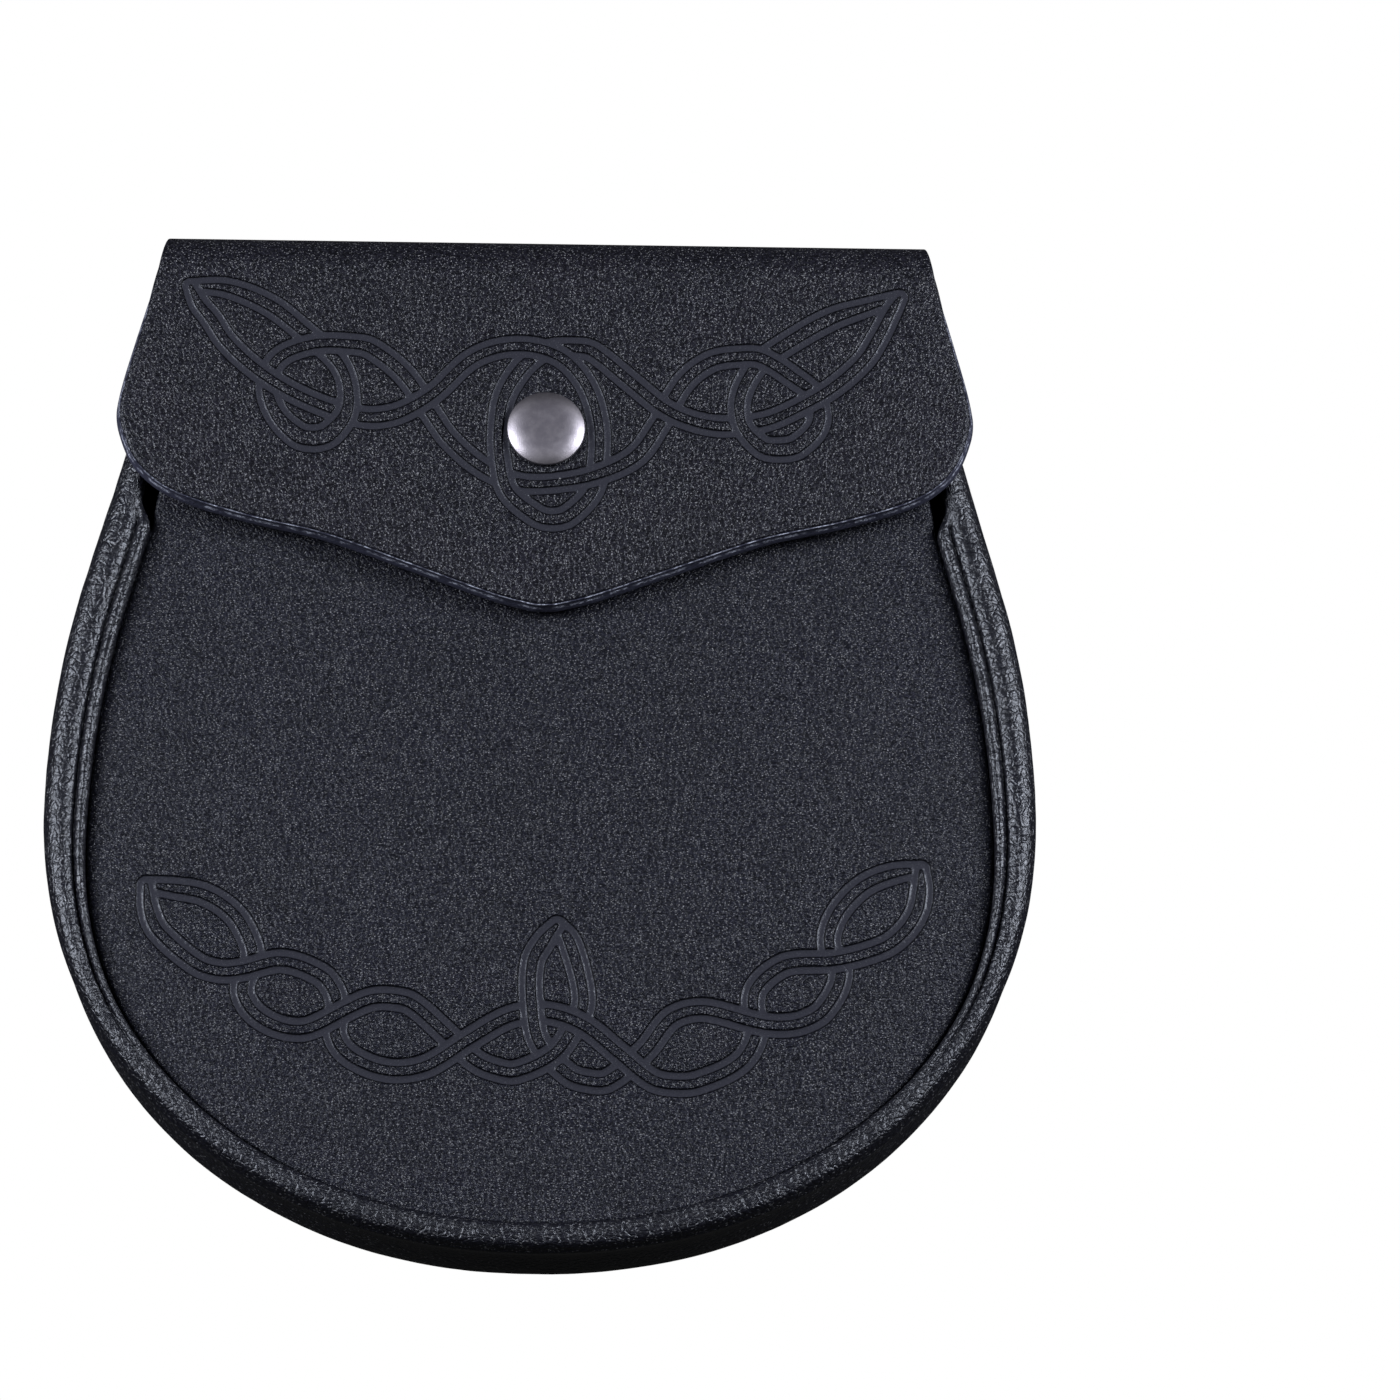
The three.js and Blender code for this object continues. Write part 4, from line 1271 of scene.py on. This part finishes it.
class AddGusset(bpy.types.Operator):
    """Adds the soft leather roll round the sides and the bottom, with its ridges beside the panels"""

    bl_idname = "pouch.gusset"
    bl_label = "Gusset"

    def execute(self, context):
        look = settings("pouch_leather")
        side = body_side(GUSSET_END, *GUSSET_STATIONS)
        width = gusset_width(side)
        open_share = ease(FRONT_SEAM_END, FRONT_SEAM_END + SEAM_END_LENGTH, side[:, 1])
        half_rings = [
            self.ring(station, wide, share) for station, wide, share in zip(side, width, open_share)
        ]
        mirrored = [ring * (-1, 1, 1) for ring in half_rings[1:]][::-1]
        rings = np.array(mirrored + half_rings)
        self.soften(rings)
        rings[:, :, 2] = np.maximum(rings[:, :, 2], 0.0)
        count = rings.shape[1]
        piece = add_grid("gusset_leather", count, len(rings) - 1)
        closed = np.concatenate([rings, rings[:, :1]], axis=1)
        move_points(piece, closed.reshape(-1, 3))
        self.lay_out_grain(piece, closed)
        in_edit_mode(
            piece, "VERT", lambda: bpy.ops.mesh.select_all(action="SELECT"),
            lambda: bpy.ops.mesh.remove_doubles(threshold=SAME_POINT),
            lambda: bpy.ops.mesh.select_all(action="DESELECT"),
            lambda: bpy.ops.mesh.select_non_manifold(),
            lambda: bpy.ops.mesh.edge_face_add(),
            lambda: bpy.ops.mesh.select_all(action="SELECT"),
            lambda: bpy.ops.mesh.normals_make_consistent(inside=False),
        )
        smooth(piece, SOFT_SMOOTH_BELOW)
        # The gusset's grain gets weaker painted shade in its hollows and weaker painted glints
        finish = leather_finish(
            "gusset_leather", look.gusset, look.soft_grain, relief=0.00021, gloss=0.32, source="UV",
            stretch=1.25, painted_grain_light=0.7, shine=0.5,
        )
        dress(piece, "gusset_leather", finish)
        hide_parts("gusset")
        return {"FINISHED"}

    def ring(self, station, width, open_share):
        """The closed section at one station, outer skin first."""
        x, y, in_x, in_y = station
        plain = ease(*FADING, in_y)
        front_foot = ROLL_HEIGHT + PANEL_LEATHER + CLEARANCE
        back_foot = BACK_FACE + FLAP_LEATHER + CLEARANCE
        front_outer, front_inner = half_section(width, open_share, plain, front_foot)
        back_outer, back_inner = half_section(width, 0.0, plain, back_foot)

        def placed(points, from_front):
            up = y + in_y * points[:, 0]
            height = crest(up) - points[:, 1] if from_front else points[:, 1]
            return np.stack([x + in_x * points[:, 0], up, height], axis=1)

        def middle(inward):
            up = y + in_y * inward
            return np.array([[x + in_x * inward, up, crest(up) / 2]])

        outer = np.concatenate([
            placed(front_outer, True), middle(SIDE_DIP), placed(back_outer, False)[::-1],
        ])
        inner = np.concatenate([
            placed(front_inner, True), middle(SIDE_DIP + GUSSET_LEATHER), placed(back_inner, False)[::-1],
        ])
        return np.concatenate([self.finer(outer, SKIN_PARTS), inner[::-1]])

    def finer(self, points, parts):
        """A smooth line through the points, with that many parts between each two."""
        before = np.concatenate([points[:1], points[:-1]])
        after = np.concatenate([points[1:], points[-1:]])
        slope = (after - before) / 2
        share = (np.arange(parts) / parts)[None, :, None]
        line = between(share, points[:-1, None], points[1:, None], slope[:-1, None], slope[1:, None])
        return np.concatenate([line.reshape(-1, 3), points[-1:]])

    def soften(self, rings):
        """Gives the roll the slight swells and gathers of soft leather, in place."""
        outer = self.outer_count(rings)
        for ring in rings:
            at = Vector(ring[outer // 4])
            swell = noise.noise(at / SWELL_SIZE) * SWELL_HEIGHT
            swell += noise.noise(at / SMALL_SWELL_SIZE + Vector((7.0, 0.0, 3.0))) * SMALL_SWELL_HEIGHT
            away = ring[:outer] - ring[:outer].mean(axis=0)
            away /= np.linalg.norm(away, axis=1)[:, None]
            crease = np.array([
                noise.noise(Vector(p) / CREASE_SIZE + Vector((0.0, 3.0, 9.0))) for p in ring[:outer]
            ])
            ring[:outer] += away * (swell + CREASE_HEIGHT * crease)[:, None]

    def outer_count(self, rings):
        """How many points of a ring are on its outer skin."""
        inner = 2 * len(SEWN_SECTION) + 1
        return rings.shape[1] - inner

    def lay_out_grain(self, piece, closed):
        """Lays the surface out flat in metres, so the grain follows the roll."""
        around = np.linalg.norm(np.diff(closed, axis=1, prepend=closed[:, :1]), axis=2).cumsum(axis=1)
        middle = closed[:, closed.shape[1] // 3]
        along = np.concatenate([[0], np.linalg.norm(np.diff(middle, axis=0), axis=1).cumsum()])
        flat = np.stack(np.broadcast_arrays(along[:, None], around.mean(axis=0)), axis=2).reshape(-1, 2) * MM
        loops = read(piece.data.loops, "vertex_index", kind=np.int32)
        layer = piece.data.uv_layers.active or piece.data.uv_layers.new(name="UVMap")
        layer.data.foreach_set("uv", flat[loops].astype(np.float32).ravel())


def turned_piece(name, profile, sides):
    """A turned piece: a disc that is drawn out ring by ring along a profile of radius and height."""
    radius, height = profile[0]
    bpy.ops.object.select_all(action="DESELECT")
    bpy.ops.mesh.primitive_circle_add(
        vertices=sides, radius=radius * MM, fill_type="NGON", location=(0, 0, height * MM)
    )
    piece = named(name)
    bpy.ops.object.transform_apply(location=True, rotation=True, scale=True)
    bpy.context.tool_settings.mesh_select_mode = (False, False, True)
    bpy.ops.object.mode_set(mode="EDIT")
    bpy.ops.mesh.select_all(action="SELECT")
    for next_radius, next_height in profile[1:]:
        bpy.ops.mesh.extrude_region_move(
            TRANSFORM_OT_translate={"value": (0, 0, (next_height - height) * MM)}
        )
        bpy.ops.transform.resize(
            value=(next_radius / radius, next_radius / radius, 1),
            center_override=(0, 0, next_height * MM),
        )
        radius, height = next_radius, next_height
    bpy.ops.mesh.select_all(action="SELECT")
    bpy.ops.mesh.normals_make_consistent(inside=False)
    bpy.ops.object.mode_set(mode="OBJECT")
    return piece


# The cap's dome, which starts this share of a quarter turn out, and its rolled rim: how far in from the
# cap's widest ring, and how far above the leather
DOME_RINGS = 26
DOME_START = 0.9
DOME_FLATNESS = 4
CAP_ROLL = ((0.6, 0.05), (0.15, 0.15), (0.0, 0.42), (0.04, 0.66))
CAP_SIDES = 96
# The socket's rounded lips, and the flat point in the middle of each end
OUTER_LIP = 0.4
INNER_LIP = 0.3
POINT_RADIUS = 0.05


class AddSnap(bpy.types.Operator):
    """Adds the snap's domed cap with its post and socket, and finishes the stud under it"""

    bl_idname = "pouch.snap"
    bl_label = "Snap"

    def execute(self, context):
        roof = -FLAP_LEATHER - CLEARANCE
        mouth = -FLAP_LEATHER - SOCKET_DEPTH
        rim = CLEARANCE + CAP_RIM
        dome = [
            (max(POINT_RADIUS, CAP_RADIUS * share), rim + (CAP_HEIGHT - rim) * (1 - share**DOME_FLATNESS))
            for share in np.sin(np.linspace(math.pi / 2 * DOME_START, 0, DOME_RINGS))
        ]
        profile = [
            (POINT_RADIUS, roof - SOCKET_ROOF),
            (SOCKET_HOLLOW_RADIUS, roof - SOCKET_ROOF),
            (SOCKET_HOLLOW_RADIUS, mouth + INNER_LIP),
            (SOCKET_HOLLOW_RADIUS + INNER_LIP, mouth),
            (SOCKET_RADIUS - OUTER_LIP, mouth),
            (SOCKET_RADIUS, mouth + OUTER_LIP),
            (SOCKET_RADIUS, roof - INNER_LIP),
            (SOCKET_RADIUS - INNER_LIP, roof),
            (CAP_POST_RADIUS, roof),
            (CAP_POST_RADIUS, HAIR),
            *((CAP_RADIUS - inward, height) for inward, height in CAP_ROLL),
            *dome,
        ]
        piece = turned_piece("snap_cap_nickel", profile, CAP_SIDES)
        give(piece, "from_axis", np.hypot(*points_of(piece)[:, :2].T) / CAP_RADIUS)
        seat = Matrix.Translation((0, SNAP_Y * MM, flap_top(SNAP_Y) * MM))
        piece.data.transform(seat @ Matrix.Rotation(FRONT_TILT, 4, "X"))
        smooth(piece, METAL_SMOOTH_BELOW)
        finish = metal_finish(settings("pouch_metal"))
        dress(piece, "cap_metal", finish)
        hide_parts("snap_cap")
        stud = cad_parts["snap_stud"]
        stud.data.materials.clear()
        stud.data.materials.append(finish)
        return {"FINISHED"}


def filleted(corners, radius, parts):
    """A line with its corners rounded."""
    line = [corners[0]]
    for before, corner, after in zip(corners, corners[1:], corners[2:]):
        start = corner + (before - corner) * radius / np.hypot(*(before - corner))
        end = corner + (after - corner) * radius / np.hypot(*(after - corner))
        for t in np.linspace(0, 1, parts + 1):
            line.append((1 - t) ** 2 * start + 2 * t * (1 - t) * corner + t**2 * end)
    line.append(corners[-1])
    return np.array(line)


# The belt loops' bends and rounded edges, and how finely they are laid out
LOOP_BEND = 1.9
BEND_PARTS = 6
LOOP_COLUMNS = 24
LOOP_EDGE = 0.3
# Points of a loop's line are at least this far apart
LEAST_STEP = 0.02


class AddBeltLoops(bpy.types.Operator):
    """Adds the two belt loops on the back"""

    bl_idname = "pouch.belt_loops"
    bl_label = "Belt loops"

    def execute(self, context):
        look = settings("pouch_leather")
        finish = leather_finish("loop_leather", look.flap, look.fine_grain, relief=0.0001, gloss=0.46)
        edge = cut_edge_finish(look)
        foot = BACK_FACE - CLEARANCE - LOOP_LEATHER
        end = LOOP_REACH + LOOP_FOOT
        corners = np.array([
            (-end, foot), (-LOOP_REACH, foot), (-LOOP_REACH, 0), (LOOP_REACH, 0), (LOOP_REACH, foot),
            (end, foot),
        ])
        line = filleted(corners, LOOP_BEND, BEND_PARTS)
        line = line[np.concatenate([[True], np.hypot(*np.diff(line, axis=0).T) > LEAST_STEP])]
        outward = right_of(line)
        for node in ("belt_loop_left", "belt_loop_right"):
            middle = sum(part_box(node), Vector()) / 2 / MM
            rows = [
                (LOOP_WIDTH / 2, middle.y + y, z, out_y, out_z, 0)
                for (y, z), (out_y, out_z) in zip(line, outward)
            ]
            piece = leather_sheet(f"{node}_leather", rows, LOOP_COLUMNS, LOOP_LEATHER)
            places = points_of(piece)
            places[:, 0] += middle.x
            move_points(piece, places)
            apply_modifier(
                piece, "BEVEL", width=LOOP_EDGE * MM, segments=2, limit_method="ANGLE",
                angle_limit=SMOOTH_BELOW,
            )
            smooth(piece)
            dress(piece, "loop_leather", finish, edge)
            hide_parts(node)
        return {"FINISHED"}


# Studio

FLOOR_SIZE = 6.0
SOFTBOX = 0.42
LEFT_SOFTBOX = Vector((-0.74, 0.12, 0.6))
RIGHT_SOFTBOX = Vector((0.74, 0.2, 0.6))
SOFTBOX_AIM = Vector((0.0, 0.0, 0.015))


def softbox(name, place, power):
    """A square soft light that faces the pouch."""
    bpy.ops.object.select_all(action="DESELECT")
    bpy.ops.object.light_add(type="AREA", location=place)
    light = named(name)
    light.data.shape = "SQUARE"
    light.data.size = SOFTBOX
    light.data.energy = power
    light.rotation_euler = (SOFTBOX_AIM - place).to_track_quat("-Z", "Y").to_euler()


class AddStudio(bpy.types.Operator):
    """Adds the plain white ground, which throws no light back, the soft lights and the camera"""

    bl_idname = "pouch.studio"
    bl_label = "Studio"

    def execute(self, context):
        studio = settings("pouch_studio")
        bpy.ops.object.select_all(action="DESELECT")
        bpy.ops.mesh.primitive_plane_add(size=FLOOR_SIZE)
        floor = named("floor")
        paper = Finish("floor_paper")
        paper.set(Base_Color=(0.0, 0.0, 0.0, 1.0), Roughness=1.0, Specular_IOR_Level=0.0)
        paper.set(Emission_Color=(*studio.floor, 1.0), Emission_Strength=1.0)
        floor.data.materials.append(paper.material)
        floor.visible_diffuse = False
        floor.visible_glossy = False
        softbox("left_softbox", LEFT_SOFTBOX, studio.left_power)
        softbox("right_softbox", RIGHT_SOFTBOX, studio.right_power)
        world = bpy.data.worlds.new("room")
        world.use_nodes = True
        background = world.node_tree.nodes["Background"]
        background.inputs["Color"].default_value = (1.0, 1.0, 1.0, 1.0)
        background.inputs["Strength"].default_value = studio.room
        context.scene.world = world
        context.scene.view_settings.view_transform = "Standard"
        self.add_camera(context)
        return {"FINISHED"}

    def add_camera(self, context):
        """Places the camera at the photograph's viewing angle."""
        bpy.ops.object.select_all(action="DESELECT")
        bpy.ops.object.camera_add(location=CAMERA_EYE)
        camera = named("camera")
        camera.data.lens = CAMERA_LENS
        camera.data.sensor_width = SENSOR
        forward = (CAMERA_AIM - CAMERA_EYE).normalized()
        right = forward.cross(Vector((0, 1, 0))).normalized()
        up = right.cross(forward)
        camera.rotation_euler = Matrix((right, up, -forward)).transposed().to_euler()
        context.scene.camera = camera


class PouchPanel(bpy.types.Panel):
    """Lists the pouch's pieces and their sizes"""

    bl_idname = "POUCH_PT_pieces"
    bl_label = "Sporran pouch"
    bl_space_type = "VIEW_3D"
    bl_region_type = "UI"
    bl_category = "Pouch"

    def draw(self, context):
        for operator in PIECES:
            self.layout.operator(operator.bl_idname)
        for group, kind in GROUPS.items():
            box = self.layout.box()
            box.label(text=kind.__doc__)
            for key in kind.__annotations__:
                box.prop(getattr(context.scene, group), key)


PIECES = (AddBackAndFlap, AddFrontPanel, AddGusset, AddSnap, AddBeltLoops, AddStudio)
GROUPS = {
    "pouch_knot": KnotSizes,
    "pouch_leather": LeatherLook,
    "pouch_metal": MetalLook,
    "pouch_studio": StudioSizes,
}


def register():
    """Makes the pieces and their sizes known to Blender."""
    for kind in (*GROUPS.values(), *PIECES, PouchPanel):
        bpy.utils.register_class(kind)
    for group, kind in GROUPS.items():
        setattr(bpy.types.Scene, group, bpy.props.PointerProperty(type=kind))


def unregister():
    """Takes them away again."""
    for group in GROUPS:
        delattr(bpy.types.Scene, group)
    for kind in reversed((*GROUPS.values(), *PIECES, PouchPanel)):
        bpy.utils.unregister_class(kind)


def main():
    """Builds the pouch and its studio."""
    register()
    bpy.ops.pouch.back_and_flap()
    bpy.ops.pouch.front_panel()
    bpy.ops.pouch.gusset()
    bpy.ops.pouch.snap()
    bpy.ops.pouch.belt_loops()
    bpy.ops.pouch.studio()


if __name__ == "__main__":
    main()
